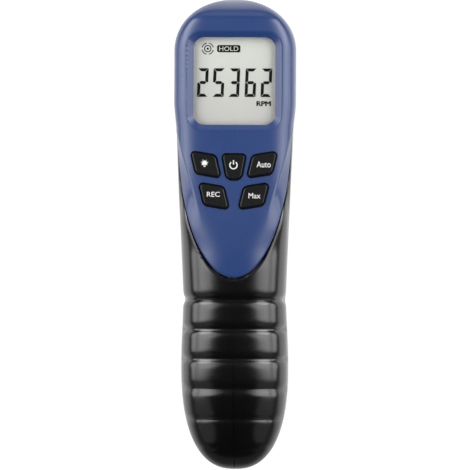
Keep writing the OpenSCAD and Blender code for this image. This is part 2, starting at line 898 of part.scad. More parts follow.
field_rise = 4;
module door_field(g) {
  translate([-door_w / 2 + g, door_y + g, nose_z - 2])
    cube([door_w - 2 * g, door_len - 2 * g, body_depth - grip_depth + field_rise]);
}

arm_w = 3;
module battery_door() {
  arm_x = door_w / 2 - door_gap - arm_w / 2;
  color([0.1, 0.1, 0.11]) {
    moulded()
      union() {
        intersection() {
          shell();
          door_field(door_gap);
        }
        for (side = [-1, 1])
          intersection() {
            core(wall / 2);
            translate([side * arm_x - arm_w / 2, hinge_y - knuckle_d / 2, nose_z])
              cube([arm_w, knuckle_d, hinge_z - nose_z]);
          }
      }
    at_hinge()
      cylinder(d = knuckle_d, h = 2 * arm_x + arm_w, center = true);
    at_hinge()
      cylinder(d = pin_d, h = door_w + 2 * pin_len, center = true);
  }
}

// Screws that clamp the halves: heads in the right half, threads in the left
screw_at = [
  [y_heel - 3, nose_z + 19],
  [(bay_y + (cell_len + snap_t) * cos(cell_tilt) + trigger_y - trigger_board_len / 2) / 2, nose_z + 33],
  [y_chin + 2, nose_z + 24]
];
boss_d = 7.4;
head_d = 5.6;
head_h = 2.2;
head_x = 6;
thread_len = 9;
module at_screw(at) { translate([0, at[0], at[1]]) rotate([0, 90, 0]) children(); }

module housing_screws() {
  color([0.6, 0.6, 0.62])
    for (at = screw_at)
      at_screw(at) {
        translate([0, 0, head_x])
          cylinder(d = head_d, h = head_h);
        translate([0, 0, -thread_len])
          cylinder(d = screw_d, h = head_x + thread_len + 0.01);
      }
}

// Ribs and bosses inside the halves
board_rail = 1.5;
rail_w = 16;
hinge_boss_d = pin_d + 5;
hinge_boss_len = 10;
module fittings() {
  at_nose()
    translate([0, 0, flange_h])
      cylinder(d = nose_bore + 2 * collar_w, h = spigot_len + 2, $fn = 40);
  cradle();
  at_trigger(trigger_board_z - board_rail)
    for (x = [-1, 1])
      translate([x * (trigger_board_w / 2 + 6) - rail_w / 2, -trigger_board_len / 2, 0])
        cube([rail_w, trigger_board_len, board_rail - seat_gap]);
  for (at = screw_at)
    at_screw(at)
      cylinder(d = boss_d, h = 2 * head_w, center = true, $fn = 20);
  for (x = [-1, 1])
    at_hinge()
      translate([0, 0, x * (door_w + hinge_boss_len) / 2])
        cylinder(d = hinge_boss_d, h = hinge_boss_len - 2 * door_gap, center = true, $fn = 20);
}

// Opening for the door, with room for its lower edge to swing
module door_opening() {
  door_field(0);
  intersection() {
    at_hinge()
      cylinder(r = hinge_r + door_gap, h = door_w, center = true, $fn = 40);
    translate([-door_w / 2, y_butt, nose_z - 1])
      cube([door_w, hinge_y - y_butt, body_depth]);
  }
}

// One half of the black housing: side is -1 on the left and 1 on the right
module half(side) {
  color([0.07, 0.07, 0.075])
    moulded()
      difference() {
        union() {
          difference() {
            shell();
            cover_wedge(seam_gap);
            door_opening();
          }
          intersection() {
            core(wall / 2);
            fittings();
          }
        }
        translate([side < 0 ? 0 : -2 * head_w, -body_len, -2 * body_depth])
          cube([2 * head_w, 2 * body_len, 3 * body_depth]);
        at_nose() {
          translate([0, 0, -1])
            cylinder(d = nose_bore, h = spigot_len + 8, $fn = 48);
          translate([0, 0, -1])
            cylinder(d = bezel_d + 2 * fit, h = flange_h + 1 + seat_gap, $fn = 48);
        }
        at_trigger(trigger_z - 10)
          linear_extrude(trigger_back - trigger_z + 9)
            square([trigger_w + 2 * guide_gap, trigger_len + 2 * guide_gap], center = true);
        at_trigger(trigger_z + wall)
          linear_extrude(trigger_board_z - trigger_z - wall - board_rail - seat_gap)
            square([trigger_w + 2 * trigger_lip + 1, trigger_len + 2 * trigger_lip + 1], center = true);
        at_trigger(trigger_board_z)
          linear_extrude(board_t + fit)
            square([trigger_board_w + 2 * fit, trigger_board_len + 2 * fit], center = true);
        at_hinge()
          cylinder(d = pin_d + 2 * fit, h = door_w + 2 * pin_len + 2 * fit, center = true, $fn = 24);
        for (at = screw_at)
          at_screw(at) {
            translate([0, 0, -thread_len - 1])
              cylinder(d = screw_d + 0.1, h = thread_len + head_x + 2, $fn = 16);
            translate([0, 0, head_x - seat_gap])
              cylinder(d = head_d + 2 * fit, h = head_w, $fn = 20);
          }
      }
}

module left_half() { half(-1); }
module right_half() { half(1); }

lifted() {
  rear_cover();
  left_half();
  right_half();
  display_window();
  lcd_cell();
  lcd_frame();
  backlight_panel();
  contact_strips();
  main_board();
  board_screws();
  switch_bases();
  control_chip();
  clock_crystal();
  for (i = [0 : 4]) {
    key(i);
    plunger(i);
  }
  nose_bezel();
  front_window();
  optics_holder();
  laser_module();
  laser_lens();
  receiver_lens();
  photodiode();
  sensor_board();
  trigger();
  trigger_spring();
  trigger_switch();
  trigger_board();
  battery();
  battery_snap();
  battery_door();
  housing_screws();
}
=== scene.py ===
"""Looks of a pistol-type hand tachometer: moulded shells, keys, display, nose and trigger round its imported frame."""
import math

import bpy
import numpy as np
from mathutils import Matrix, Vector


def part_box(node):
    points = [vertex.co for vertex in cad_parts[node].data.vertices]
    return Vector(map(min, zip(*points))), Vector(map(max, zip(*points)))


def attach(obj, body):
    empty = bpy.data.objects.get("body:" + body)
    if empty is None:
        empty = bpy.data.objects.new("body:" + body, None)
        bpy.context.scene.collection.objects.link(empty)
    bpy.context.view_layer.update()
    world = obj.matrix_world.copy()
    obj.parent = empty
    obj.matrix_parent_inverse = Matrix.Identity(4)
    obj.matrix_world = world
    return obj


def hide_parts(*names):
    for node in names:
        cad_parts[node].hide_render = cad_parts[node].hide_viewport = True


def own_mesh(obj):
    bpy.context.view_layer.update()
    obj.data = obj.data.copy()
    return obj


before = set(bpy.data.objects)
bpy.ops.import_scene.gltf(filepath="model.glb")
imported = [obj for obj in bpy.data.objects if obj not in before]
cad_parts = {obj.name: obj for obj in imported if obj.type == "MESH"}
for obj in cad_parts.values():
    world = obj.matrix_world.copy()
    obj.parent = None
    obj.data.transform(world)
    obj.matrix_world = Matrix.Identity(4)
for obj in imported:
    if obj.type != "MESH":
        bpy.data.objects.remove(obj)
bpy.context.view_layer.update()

bl_info = {
    "name": "Hand tachometer",
    "version": (1, 0, 0),
    "blender": (4, 5, 0),
    "location": "3D View > Sidebar > Tachometer",
    "description": "Dresses the frame of a pistol-type hand tachometer",
    "category": "Object",
}

MM = 0.001

# Sizes of the frame, in millimetres, with the display face at height 0
LIFT = 60.0
Y_TOP, Y_BUTT = 100.0, -100.0
LENGTH = Y_TOP - Y_BUTT
Y_SHOULDER = Y_TOP - 0.215 * LENGTH
Y_NECK = Y_TOP - 0.29 * LENGTH
Y_WAIST = Y_BUTT + 0.375 * LENGTH
Y_PALM = Y_BUTT + 0.225 * LENGTH
Y_HEEL = Y_BUTT + 0.1 * LENGTH
Y_BEND = Y_TOP - 0.46 * LENGTH
Y_CHIN = Y_NECK
Y_TIP = Y_TOP - 118.4
Y_NOSE = Y_TOP - 0.1625 * LENGTH
Y_WINDOW = Y_TOP - 34.8
HEAD_W, NECK_W, WAIST_W, PALM_W = 51.6, 49.4, 43.7, 45.6
DEPTH, GRIP_DEPTH, RAKE = 60.0, 38.0, math.radians(11)
SPINE, CHIN_RUN, CROWN_LEN, CROWN_ROUND, BROW_RUN, BEND_RUN = 20.0, 13.0, 22.2, 9.0, 13.0, 24.0
HEAD_SHARP, GRIP_SHARP, CROWN_SHARP, BUTT_SHARP, NOSE_TAPER = 7.0, 2.7, 2.1, 2.45, 0.16
TONGUE_W, JAW_SLOPE = 24.2, 0.94
WINDOW_W, WINDOW_H, RIM_W, RIM_END, RIM_DEPTH, RIM_END_DEPTH = 34.7, 37.2, 3.4, 2.6, 2.6, 1.5
WINDOW_ROUND, RIM_ROUND = 4.5, 6.5
RIB_COUNT, RIB_PITCH = 6, 12.7
CREASE_IN, CREASE_SLOPE, CREASE_RUN = 0.8, 0.265, 11.3
KEY_ROUND, KEY_WIDE_ROUND, KEY_PROUD, KEY_HOLE_GAP = 1.2, 2.8, 0.9, 0.8
DOOR_W, DOOR_LEN, DOOR_Y, DOOR_WALL = 28.0, 58.0, Y_BUTT + 31.0, 2.0
DOOR_MIDDLE = DOOR_Y + DOOR_LEN / 2
HINGE_Y, HINGE_Z = DOOR_Y + 2.5, 8.42882 - LIFT
BEZEL_D = 38.0
TRIGGER_Y, TRIGGER_W, TRIGGER_LEN, TRIGGER_BACK = Y_CHIN - CHIN_RUN / 2 - 14, 13.0, 20.0, 25.9019 - LIFT
SCREW_AT, SCREW_R = ((Y_HEEL - 3, -41.0), (-1.11, -27.0), (Y_CHIN + 2, -36.0)), 2.95
TRIGGER_STROKE = 3.0
QUARTER = math.pi / 2
NOWHERE = 50.0  # distance given where an outline doesn't count
VIEW_MIDDLE, VIEW_SCALE, VIEW_WIDTH = 233.3, 0.4264, 0.1996  # display view: picture points, mm a point, metres


# Shape of the moulded body

def clamp(t):
    """Held between 0 and 1."""
    return np.clip(t, 0.0, 1.0)


def ease(t):
    """Smooth step: 3 t squared less 2 t cubed, held between 0 and 1."""
    c = clamp(t)
    return c * c * (3 - 2 * c)


def blend(a, b, t):
    """Straight from a at 0 to b at 1."""
    return a + (b - a) * t


def cap(t, p):
    """Rounded end: the p-th root of one less t to the power p."""
    return (1 - clamp(t) ** p) ** (1 / p)


def butt_end(y):
    """Rounded end of the sections from the palm to the butt."""
    return cap((Y_PALM - y) / (Y_PALM - Y_BUTT), BUTT_SHARP)


def half_width(y):
    """Half of the outline seen on the display, waist to neck to head, rounded off at crown and butt."""
    upper = blend(WAIST_W, NECK_W, clamp((y - Y_WAIST) / (Y_NECK - Y_WAIST)))
    upper = upper + (HEAD_W - NECK_W) * ease((y - Y_NECK) / (Y_SHOULDER - Y_NECK))
    lower = blend(PALM_W, WAIST_W, ease((y - Y_PALM) / (Y_WAIST - Y_PALM)))
    crown = cap((y - Y_TOP + CROWN_LEN) / CROWN_LEN, CROWN_SHARP)
    return np.where(y > Y_WAIST, upper, lower) / 2 * crown * butt_end(y)


def middle(y):
    """Height of the widest line: level under the display, then raked along the grip."""
    t = Y_BEND - y
    run = np.where(t <= 0, 0, np.where(t < BEND_RUN, t * t / (2 * BEND_RUN), t - BEND_RUN / 2))
    return -math.tan(RAKE) * run - SPINE


def barrel(y):
    """Smooth step across the chin, from 0 on the grip to 1 on the barrel."""
    return ease((y - Y_CHIN + CHIN_RUN / 2) / CHIN_RUN)


def front(y):
    """Height of the front line: the grip down to its heel, or the nose of the barrel."""
    run = (Y_CHIN - CHIN_RUN - y) / (Y_CHIN - CHIN_RUN - Y_HEEL)
    return blend(-blend(GRIP_DEPTH, DEPTH, ease(run)), -DEPTH, barrel(y))


def fall(y):
    """Depth from the widest line to the front line, rounded off at brow and heel."""
    brow = cap((y - Y_TOP + BROW_RUN) / BROW_RUN, 2)
    return (middle(y) - front(y)) * brow * cap((Y_HEEL - y) / (Y_HEEL - Y_BUTT), 2)


def groove(y, a):
    """Sum of pointed bell curves across the grip, one to a groove, shallower towards the butt by a power of the
    count. The first groove runs round the flanks, the others fade out before them."""
    sizes = bpy.context.scene.tacho_sizes
    i = np.arange(RIB_COUNT)
    line = Y_WAIST - 2.6 - i * RIB_PITCH
    shape = np.exp(-np.abs((y[..., None] - line) / sizes.groove_half) ** sizes.groove_power)
    deep = sizes.groove_depth * np.maximum(0.15, 1 - 0.023 * i ** 2.2)
    side = ease((np.sin(a)[..., None] - np.where(i == 0, -0.45, 0.0)) / 0.4)
    return (shape * deep * side).sum(-1)


def reach(y, a):
    """Distance from the widest line to the skin: a superellipse, blended through a soft minimum with a flank plane
    between the shoulders and the tongue, less the grooves."""
    c, s = np.abs(np.cos(a)), np.sin(a)
    w = np.maximum(0.05, half_width(y))
    up = SPINE * cap((y - Y_TOP + CROWN_ROUND) / CROWN_ROUND, 2) * butt_end(y)
    above = s >= 0
    h = np.maximum(0.05, np.where(above, up, fall(y)))
    n = blend(GRIP_SHARP, HEAD_SHARP, np.where(above, ease((y - Y_TIP - 10) / 32), barrel(y)))
    round_part = ((c / w) ** n + (np.abs(s) / h) ** n) ** (-1 / n)
    head, foot = ease((Y_SHOULDER - 6 - y) / 9), ease((y - Y_TIP - 20) / 24)
    crease = np.minimum(NECK_W / 2 - CREASE_IN - CREASE_SLOPE * (Y_NECK - y), w - 0.3)
    side = w - crease
    size = np.hypot(CREASE_RUN, side)
    out = (CREASE_RUN * crease + side * (SPINE - 0.7)) / size + 5 * (1 - head)
    away = (CREASE_RUN * c + side * s) / size
    flank = np.where((s <= 0) | (away < 0.05), 1000.0, out / np.maximum(away, 0.05))
    k = bpy.context.scene.tacho_sizes.crease_round
    t = clamp(0.5 + (flank - round_part) / (2 * k))
    both = blend(flank, round_part, t) - k * t * (1 - t) / 2
    return blend(round_part, both, foot) - groove(y, a) * clamp(w / 8)


def skin(y, a):
    """Point of the outer skin at station y in the direction a, narrowed towards the nose."""
    y, a = np.broadcast_arrays(np.asarray(y, float), np.asarray(a, float))
    r = reach(y, a)
    deep = clamp(-r * np.sin(a) / np.maximum(0.1, fall(y)))
    narrow = 1 - NOSE_TAPER * barrel(y) * deep ** 1.5
    return np.stack([narrow * r * np.cos(a), y, middle(y) + r * np.sin(a)], -1)


def tongue_angle(y, gap):
    """Direction in which a section reaches out to the tongue's half ellipse, found by halving."""
    t = clamp((Y_NECK - y) / (Y_NECK - Y_TIP + gap))
    want = TONGUE_W * np.sqrt(np.maximum(0, 1 - t * t))
    low, high = np.zeros_like(y), np.full_like(y, QUARTER)
    for _ in range(30):
        a = (low + high) / 2
        wide = skin(y, a)[..., 0] > want
        low, high = np.where(wide, a, low), np.where(wide, high, a)
    return (low + high) / 2


def seam_angle(y, gap):
    """Edge of the cover: the tongue's ellipse up to the neck, then a straight line down the barrel's side."""
    y = np.asarray(y, float)
    start = half_width(np.array(Y_NECK)) * np.tan(tongue_angle(np.array([Y_NECK]), 0.0))[0]
    level = np.minimum(y, Y_TOP - CROWN_LEN)
    jaw = np.arctan2(start - JAW_SLOPE * (y - Y_NECK), half_width(level))
    a = np.where(y <= Y_NECK, tongue_angle(np.minimum(y, Y_NECK), gap), jaw)
    return a - gap / np.maximum(8, reach(level, a))


def even_rows(y, first, last, count, most=math.inf):
    """Rows of skin points from one direction to another, evenly spaced along each section's arc, and none beyond
    the most."""
    fine = first[:, None] + (last - first)[:, None] * np.linspace(0, 1, 900)
    points = skin(y[:, None], fine)
    step = np.linalg.norm(np.diff(points[..., [0, 2]], axis=1), axis=-1) + 1e-9
    length = np.concatenate([np.zeros((len(y), 1)), np.cumsum(step, 1)], 1)
    length /= length[:, -1:]
    row = 2.0 * np.arange(len(y))[:, None]
    want = (np.linspace(0, 1, count)[None] + row).ravel()
    a = np.interp(want, (length + row).ravel(), fine.ravel()).reshape(len(y), count)
    return skin(y[:, None], np.minimum(a, np.reshape(most, (-1, 1))))


def soft_edge(points, line, span, drop):
    """Rounds the skin off along a line of points: within the span it sinks by the drop times the squared share
    that is left."""
    fine = np.linspace(0, len(line) - 1, 5 * len(line))
    line = np.stack([np.interp(fine, np.arange(len(line)), line[:, k]) for k in range(3)], -1)
    y = points[..., 1]
    a = np.arctan2(points[..., 2] - middle(y), points[..., 0])
    normal = np.cross(skin(y, a - 0.001) - skin(y, a + 0.001), skin(y + 0.02, a) - skin(y - 0.02, a))
    normal /= np.maximum(np.linalg.norm(normal, axis=-1, keepdims=True), 1e-12)
    near = np.stack([np.sqrt(((row[:, None] - line) ** 2).sum(-1).min(1)) for row in points])
    return points - normal * (drop * clamp(1 - near / span) ** 2)[..., None]


def stations(tip, start, tongue, head, crown):
    """Stations up the body, from a start above the tongue's tip, closer together there by a cosine and at the crown
    by a sine, with a count for each length."""
    return np.concatenate([tip + start + (Y_NECK - tip) * (1 - np.cos(np.linspace(0, QUARTER, tongue))),
                           np.linspace(Y_NECK, Y_TOP - CROWN_LEN, head)[1:],
                           Y_TOP - CROWN_LEN + CROWN_LEN * np.sin(np.linspace(0, QUARTER, crown))[1:]])


# Distances from outlines, negative inside

def from_rounded(p, y, w, h, r):
    """Distance from a rounded rectangle of full size w by h about station y."""
    qx, qy = np.abs(p[..., 0]) - w / 2 + r, np.abs(p[..., 1] - y) - h / 2 + r
    return np.hypot(np.maximum(qx, 0), np.maximum(qy, 0)) + np.minimum(np.maximum(qx, qy), 0) - r


def from_polygon(p, corners):
    """Distance from a convex polygon whose corners run anticlockwise."""
    side, near = np.full(p.shape[:-1], -1e9), np.full(p.shape[:-1], 1e9)
    for a, b in zip(corners, np.roll(corners, -1, 0)):
        edge = b - a
        t = clamp(((p - a) @ edge) / (edge @ edge))
        near = np.minimum(near, np.linalg.norm(p - a - t[..., None] * edge, axis=-1))
        normal = np.array([edge[1], -edge[0]]) / np.linalg.norm(edge)
        side = np.maximum(side, (p - a) @ normal)
    return np.where(side > 0, near, -near)


def hinge_reach():
    """Radius from the door's hinge to the skin at the lower end of its opening, and a gap."""
    edge = skin(np.array([DOOR_Y]), np.array([-QUARTER]))[0]
    return math.hypot(edge[1] - HINGE_Y, edge[2] - HINGE_Z) + 0.3


def from_sweep(p):
    """Distance from the round that the door's lower end sweeps below its hinge, between the opening's sides."""
    ends = np.maximum(np.abs(p[..., 0]) - DOOR_W / 2, p[..., 1] - HINGE_Y)
    return np.maximum(np.hypot(p[..., 1] - HINGE_Y, p[..., 2] - HINGE_Z) - hinge_reach(), ends)


def clear_of_sweep(p):
    """Points inside the door's sweep moved straight out from the hinge to its edge."""
    away = p[:, 1:] - [HINGE_Y, HINGE_Z]
    far = np.maximum(np.linalg.norm(away, axis=1, keepdims=True), 1e-9)
    out = [HINGE_Y, HINGE_Z] + away / far * (hinge_reach() - 0.05)
    return np.column_stack([p[:, 0], np.where(from_sweep(p)[:, None] < -0.05, out, p[:, 1:])])


def beyond_window(p):
    """Distance from the display window's outline."""
    return from_rounded(p, Y_WINDOW, WINDOW_W, WINDOW_H, WINDOW_ROUND)


def beyond_rim(p):
    """Distance from the outer edge of the window's rim."""
    return from_rounded(p, Y_WINDOW, WINDOW_W + 2 * RIM_W, WINDOW_H + 2 * RIM_END, RIM_ROUND)


def on_side(side, outline):
    """Outline that counts only on one side of the body, the upper at 1 and the lower at -1."""
    return lambda p: np.where(side * (p[..., 2] - middle(p[..., 1])) > 6, outline(p), NOWHERE)


# Keys: places, corners and outlines

KEYS = ["backlight", "power", "auto", "record", "max"]
OUTER_X, INNER_X, OUTER_Y, KEY_STEP = 0.2326 * HEAD_W, 0.1638 * HEAD_W, Y_WINDOW - 35.5, 13.4
KEY_AT = np.array([[-OUTER_X, OUTER_Y], [0, OUTER_Y - 1], [OUTER_X, OUTER_Y],
                   [-INNER_X, OUTER_Y - KEY_STEP], [INNER_X, OUTER_Y - KEY_STEP]])


def key_outline(i, grow=0.0):
    """Outline of key i, anticlockwise: a leaning parallelogram or a tapered middle key, each corner a round whose
    middle lies on the bisector, a radius over the sine of half the corner away. Two of the rounds are wider."""
    turn = np.array([[1, 1], [-1, 1], [-1, -1], [1, -1]], float)
    at = KEY_AT[i]
    if KEYS[i] == "power":
        half = np.where(turn[:, 1] > 0, 0.186, 0.1145) * HEAD_W / 2
        corner = at + np.stack([turn[:, 0] * half, turn[:, 1] * 5.1], -1)
        wide = [2, 3]
    else:
        side = math.copysign(1, at[0])
        w, h = 0.198 * HEAD_W / 2, 4.5
        corner = at + np.stack([turn[:, 0] * w + turn[:, 1] * side * h * math.tan(math.radians(13)),
                                turn[:, 1] * h + turn[:, 0] * side * w * math.tan(math.radians(9))], -1)
        wide = [0, 2] if side < 0 else [1, 3]
    r = np.full((4, 1), KEY_ROUND)
    r[wide] = KEY_WIDE_ROUND
    ways = [np.roll(corner, k, 0) - corner for k in (1, -1)]
    a, b = (v / np.linalg.norm(v, axis=1, keepdims=True) for v in ways)
    m = (a + b) / np.linalg.norm(a + b, axis=1, keepdims=True)
    half_sine = np.abs(a[:, :1] * m[:, 1:] - a[:, 1:] * m[:, :1])
    return rounded_path(corner + m * r / half_sine, r + grow)


# Meshes

def grid_faces(rows, cols):
    """Quads of a grid, as indices of its points row by row."""
    k = np.arange(rows * cols).reshape(rows, cols)
    return np.stack([k[:-1, :-1], k[:-1, 1:], k[1:, 1:], k[1:, :-1]], -1).reshape(-1, 4)


def split(quads):
    """Two triangles to each quad."""
    return np.concatenate([quads[:, [0, 1, 2]], quads[:, [0, 2, 3]]])


def snap(points, outline):
    """Moves each grid point that is nearest a crossing of the outline along its grid line onto it.
    Gives the points and their distances, zero where moved."""
    d = outline(points)
    best = np.full(d.shape, 2.0)
    moved = points.copy()
    for axis, step in ((0, 1), (0, -1), (1, 1), (1, -1)):
        other, p = np.roll(d, -step, axis), np.roll(points, -step, axis)
        edge = [slice(None), slice(None)]
        edge[axis] = -1 if step > 0 else 0
        t = np.where(d * other < 0, d / np.where(d == other, 1, d - other), 2.0)
        t[tuple(edge)] = 2.0
        use = (t <= 0.5) & (t < best)
        best = np.where(use, t, best)
        moved = np.where(use[..., None], points + np.minimum(t, 1)[..., None] * (p - points), moved)
    return moved, np.where(best <= 0.5, 0.0, d)


def triangles(points, marks):
    """Two triangles to each grid cell, split along an outline where two opposite corners lie on it."""
    rows, cols = points.shape[:2]
    q = grid_faces(rows, cols)
    on = np.zeros(rows * cols, bool)
    for d in marks:
        on |= (d == 0).ravel()
    first = on[q[:, 0]] & on[q[:, 2]]
    a = np.where(first[:, None], q[:, [0, 1, 2]], q[:, [0, 1, 3]])
    b = np.where(first[:, None], q[:, [0, 2, 3]], q[:, [1, 2, 3]])
    return np.concatenate([a, b])


def cut_shell(points, holes, folds=(), shape=None):
    """Grid trimmed to its outlines: holes are cut out, folds only get an edge. shape moves points afterwards."""
    marks = []
    for outline in list(folds) + list(holes):
        points, d = snap(points, outline)
        marks.append(d)
    tris = triangles(points, marks)
    flat = points.reshape(-1, 3)
    centre = flat[tris].mean(1)
    keep = np.ones(len(tris), bool)
    for outline in holes:
        keep &= outline(centre) > 0
    if shape is not None:
        flat = shape(flat)
    return flat, tris[keep]


def weld(points, tris, span=1e-4):
    """Joins points that lie together and drops triangles that vanish."""
    key = np.round(points / span).astype(np.int64)
    _, first, back = np.unique(key, axis=0, return_index=True, return_inverse=True)
    tris = back.reshape(-1)[tris]
    good = (tris[:, 0] != tris[:, 1]) & (tris[:, 1] != tris[:, 2]) & (tris[:, 0] != tris[:, 2])
    tris = tris[good]
    used = np.unique(tris)
    place = np.zeros(len(first), int)
    place[used] = np.arange(len(used))
    return points[first][used], place[tris]


def thicken(points, tris, wall, depth=0.0):
    """Closed shell at a depth under the skin: two copies set in along the normals, and walls along every open
    edge."""
    points, tris = weld(points, tris)
    a, b, c = (points[tris[:, i]] for i in range(3))
    n = np.cross(b - a, c - a)
    normal = np.zeros_like(points)
    for i in range(3):
        np.add.at(normal, tris[:, i], n)
    normal /= np.maximum(np.linalg.norm(normal, axis=1, keepdims=True), 1e-12)
    edges = np.concatenate([tris[:, [0, 1]], tris[:, [1, 2]], tris[:, [2, 0]]])
    count = len(points)
    code = edges[:, 0] * count + edges[:, 1]
    mate = edges[:, 1] * count + edges[:, 0]
    rim = edges[~np.isin(code, mate)]
    u, v = rim[:, 0], rim[:, 1]
    walls = split(np.stack([v, u, u + count, v + count], -1))
    return (np.concatenate([points - normal * depth, points - normal * (depth + wall)]),
            np.concatenate([tris, tris[:, ::-1] + count, walls]))


def tube(rings):
    """Closed solid through rings of equal count, its two ends drawn to their middles."""
    rings = np.asarray(rings, float)
    m, n = rings.shape[:2]
    k = np.arange(m * n).reshape(m, n)
    nxt = np.roll(k, -1, 1)
    quads = np.stack([k[:-1], nxt[:-1], nxt[1:], k[1:]], -1).reshape(-1, 4)
    low, high = m * n, m * n + 1
    ends = [np.stack([nxt[0], k[0], np.full(n, low)], -1), np.stack([k[-1], nxt[-1], np.full(n, high)], -1)]
    return (np.concatenate([rings.reshape(-1, 3), [rings[0].mean(0)], [rings[-1].mean(0)]]),
            np.concatenate([split(quads)] + ends))


def lathe(profile, centre, count=96):
    """Closed ring or disc: a closed profile of (radius, height) points turned about the vertical line at centre."""
    profile = np.asarray(profile, float)
    a = np.linspace(0, 2 * math.pi, count, endpoint=False)
    ring = np.stack([profile[:, None, 0] * np.cos(a), profile[:, None, 0] * np.sin(a),
                     np.repeat(profile[:, None, 1], count, 1)], -1)
    m = len(profile)
    k = np.arange(m * count).reshape(m, count)
    nxt = np.roll(k, -1, 1)
    k2, nxt2 = np.roll(k, -1, 0), np.roll(nxt, -1, 0)
    quads = np.stack([k, nxt, nxt2, k2], -1).reshape(-1, 4)
    return ring.reshape(-1, 3) + [*centre, 0], split(quads)


def circle(x, y, r, count):
    """Outline of a disc."""
    a = np.linspace(0, 2 * math.pi, count, endpoint=False)
    return np.stack([x + r * np.cos(a), y + r * np.sin(a)], -1)


def rounded_path(corners, r, steps=8):
    """Outline of a convex polygon whose corners are rounds about the given points, of one radius or one each."""
    corners = np.asarray(corners, float)
    before, after = corners - np.roll(corners, 1, 0), np.roll(corners, -1, 0) - corners
    first = np.arctan2(before[:, 1], before[:, 0]) - QUARTER
    turn = (np.arctan2(after[:, 1], after[:, 0]) - QUARTER - first) % (2 * math.pi)
    a = first[:, None] + turn[:, None] * np.linspace(0, 1, steps)
    r = np.broadcast_to(np.reshape(r, (-1, 1, 1)), (len(corners), 1, 1))
    return (corners[:, None] + r * np.stack([np.cos(a), np.sin(a)], -1)).reshape(-1, 2)


def rounded_box(x0, y0, x1, y1, r):
    """Outline of a rectangle with rounded corners."""
    return rounded_path([[x0 + r, y0 + r], [x1 - r, y0 + r], [x1 - r, y1 - r], [x0 + r, y1 - r]], r, 5)


def slab(outline, low, high):
    """Closed flat plate with the given outline between two heights."""
    return tube([np.column_stack([outline, np.full(len(outline), z)]) for z in (low, high)])


def joined(parts):
    """One mesh of several: points end to end, with the faces' indices moved on."""
    start = np.cumsum([0] + [len(p) for p, _ in parts[:-1]])
    return np.concatenate([p for p, _ in parts]), np.concatenate([t + s for (_, t), s in zip(parts, start)])


def drawn(box):
    """Corners of a box of the frame, in millimetres under the display face's height."""
    return (np.array(corner) / MM - [0, 0, LIFT] for corner in box)


def piece(name, points, tris, material, body, slot, replaces=()):
    """Object from points in millimetres under the display face's height, riding on a body of the frame."""
    mesh = bpy.data.meshes.new(name)
    at = (np.asarray(points, float) + [0, 0, LIFT]) * MM
    mesh.from_pydata(at, [], np.asarray(tris).tolist())
    mesh.validate()
    mesh.polygons.foreach_set("use_smooth", np.ones(len(mesh.polygons), bool))
    mesh.set_sharp_from_angle(angle=math.radians(35))
    mesh.update()
    obj = bpy.data.objects.new(name, mesh)
    bpy.context.collection.objects.link(obj)
    obj.data.materials.append(material)
    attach(obj, body)
    if replaces:
        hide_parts(*replaces)
    return obj


def words(name, text, box, height, thick, material, body, slot, heavy=0.0):
    """Lettering as flat meshes fitted to a box of low and high x and y at a height, made bold by copies to each
    side, each a little higher than the last."""
    curve = bpy.data.curves.new(name, "FONT")
    curve.body = text
    curve.extrude = 0.5
    curve.resolution_u = 6
    temp = bpy.data.objects.new(name, curve)
    bpy.context.collection.objects.link(temp)
    bpy.context.view_layer.update()
    mesh = bpy.data.meshes.new_from_object(temp.evaluated_get(bpy.context.evaluated_depsgraph_get()))
    bpy.data.objects.remove(temp)
    bpy.data.curves.remove(curve)
    p = np.empty(len(mesh.vertices) * 3)
    mesh.vertices.foreach_get("co", p)
    p = p.reshape(-1, 3)
    mesh.calc_loop_triangles()
    tris = np.empty(len(mesh.loop_triangles) * 3, np.int32)
    mesh.loop_triangles.foreach_get("vertices", tris)
    bpy.data.meshes.remove(mesh)
    low, high = p.min(0), p.max(0)
    u = (p - low) / np.maximum(high - low, 1e-9)
    x0, y0, x1, y1 = box
    low = np.array([x0 + heavy, y0 + 0.6 * heavy])
    size = np.array([x1 - x0 - 2 * heavy, y1 - y0 - 1.2 * heavy])
    q = np.column_stack([low + u[:, :2] * size, height + u[:, 2] * thick])
    plate = weld(q, tris.reshape(-1, 3))
    shifts = ((0, 0), (-1, 0), (1, 0), (0, -0.6), (0, 0.6)) if heavy else ((0, 0),)
    copies = [(plate[0] + [a * heavy, b * heavy, 0.003 * k], plate[1]) for k, (a, b) in enumerate(shifts)]
    return piece(name, *joined(copies), material, body, slot)


# Finishes

class Value:
    """A socket in a material, with arithmetic that adds Math nodes."""

    def __init__(self, finish, socket):
        self.finish, self.socket = finish, socket

    def _math(self, operation, a, b):
        return self.finish.node("ShaderNodeMath", {"operation": operation}, {0: a, 1: b})

    def __add__(self, other):
        return self._math("ADD", self, other)

    __radd__ = __add__

    def __sub__(self, other):
        return self._math("SUBTRACT", self, other)

    def __rsub__(self, other):
        return self._math("SUBTRACT", other, self)

    def __mul__(self, other):
        return self._math("MULTIPLY", self, other)

    __rmul__ = __mul__

    def larger(self, other):
        return self._math("MAXIMUM", self, other)


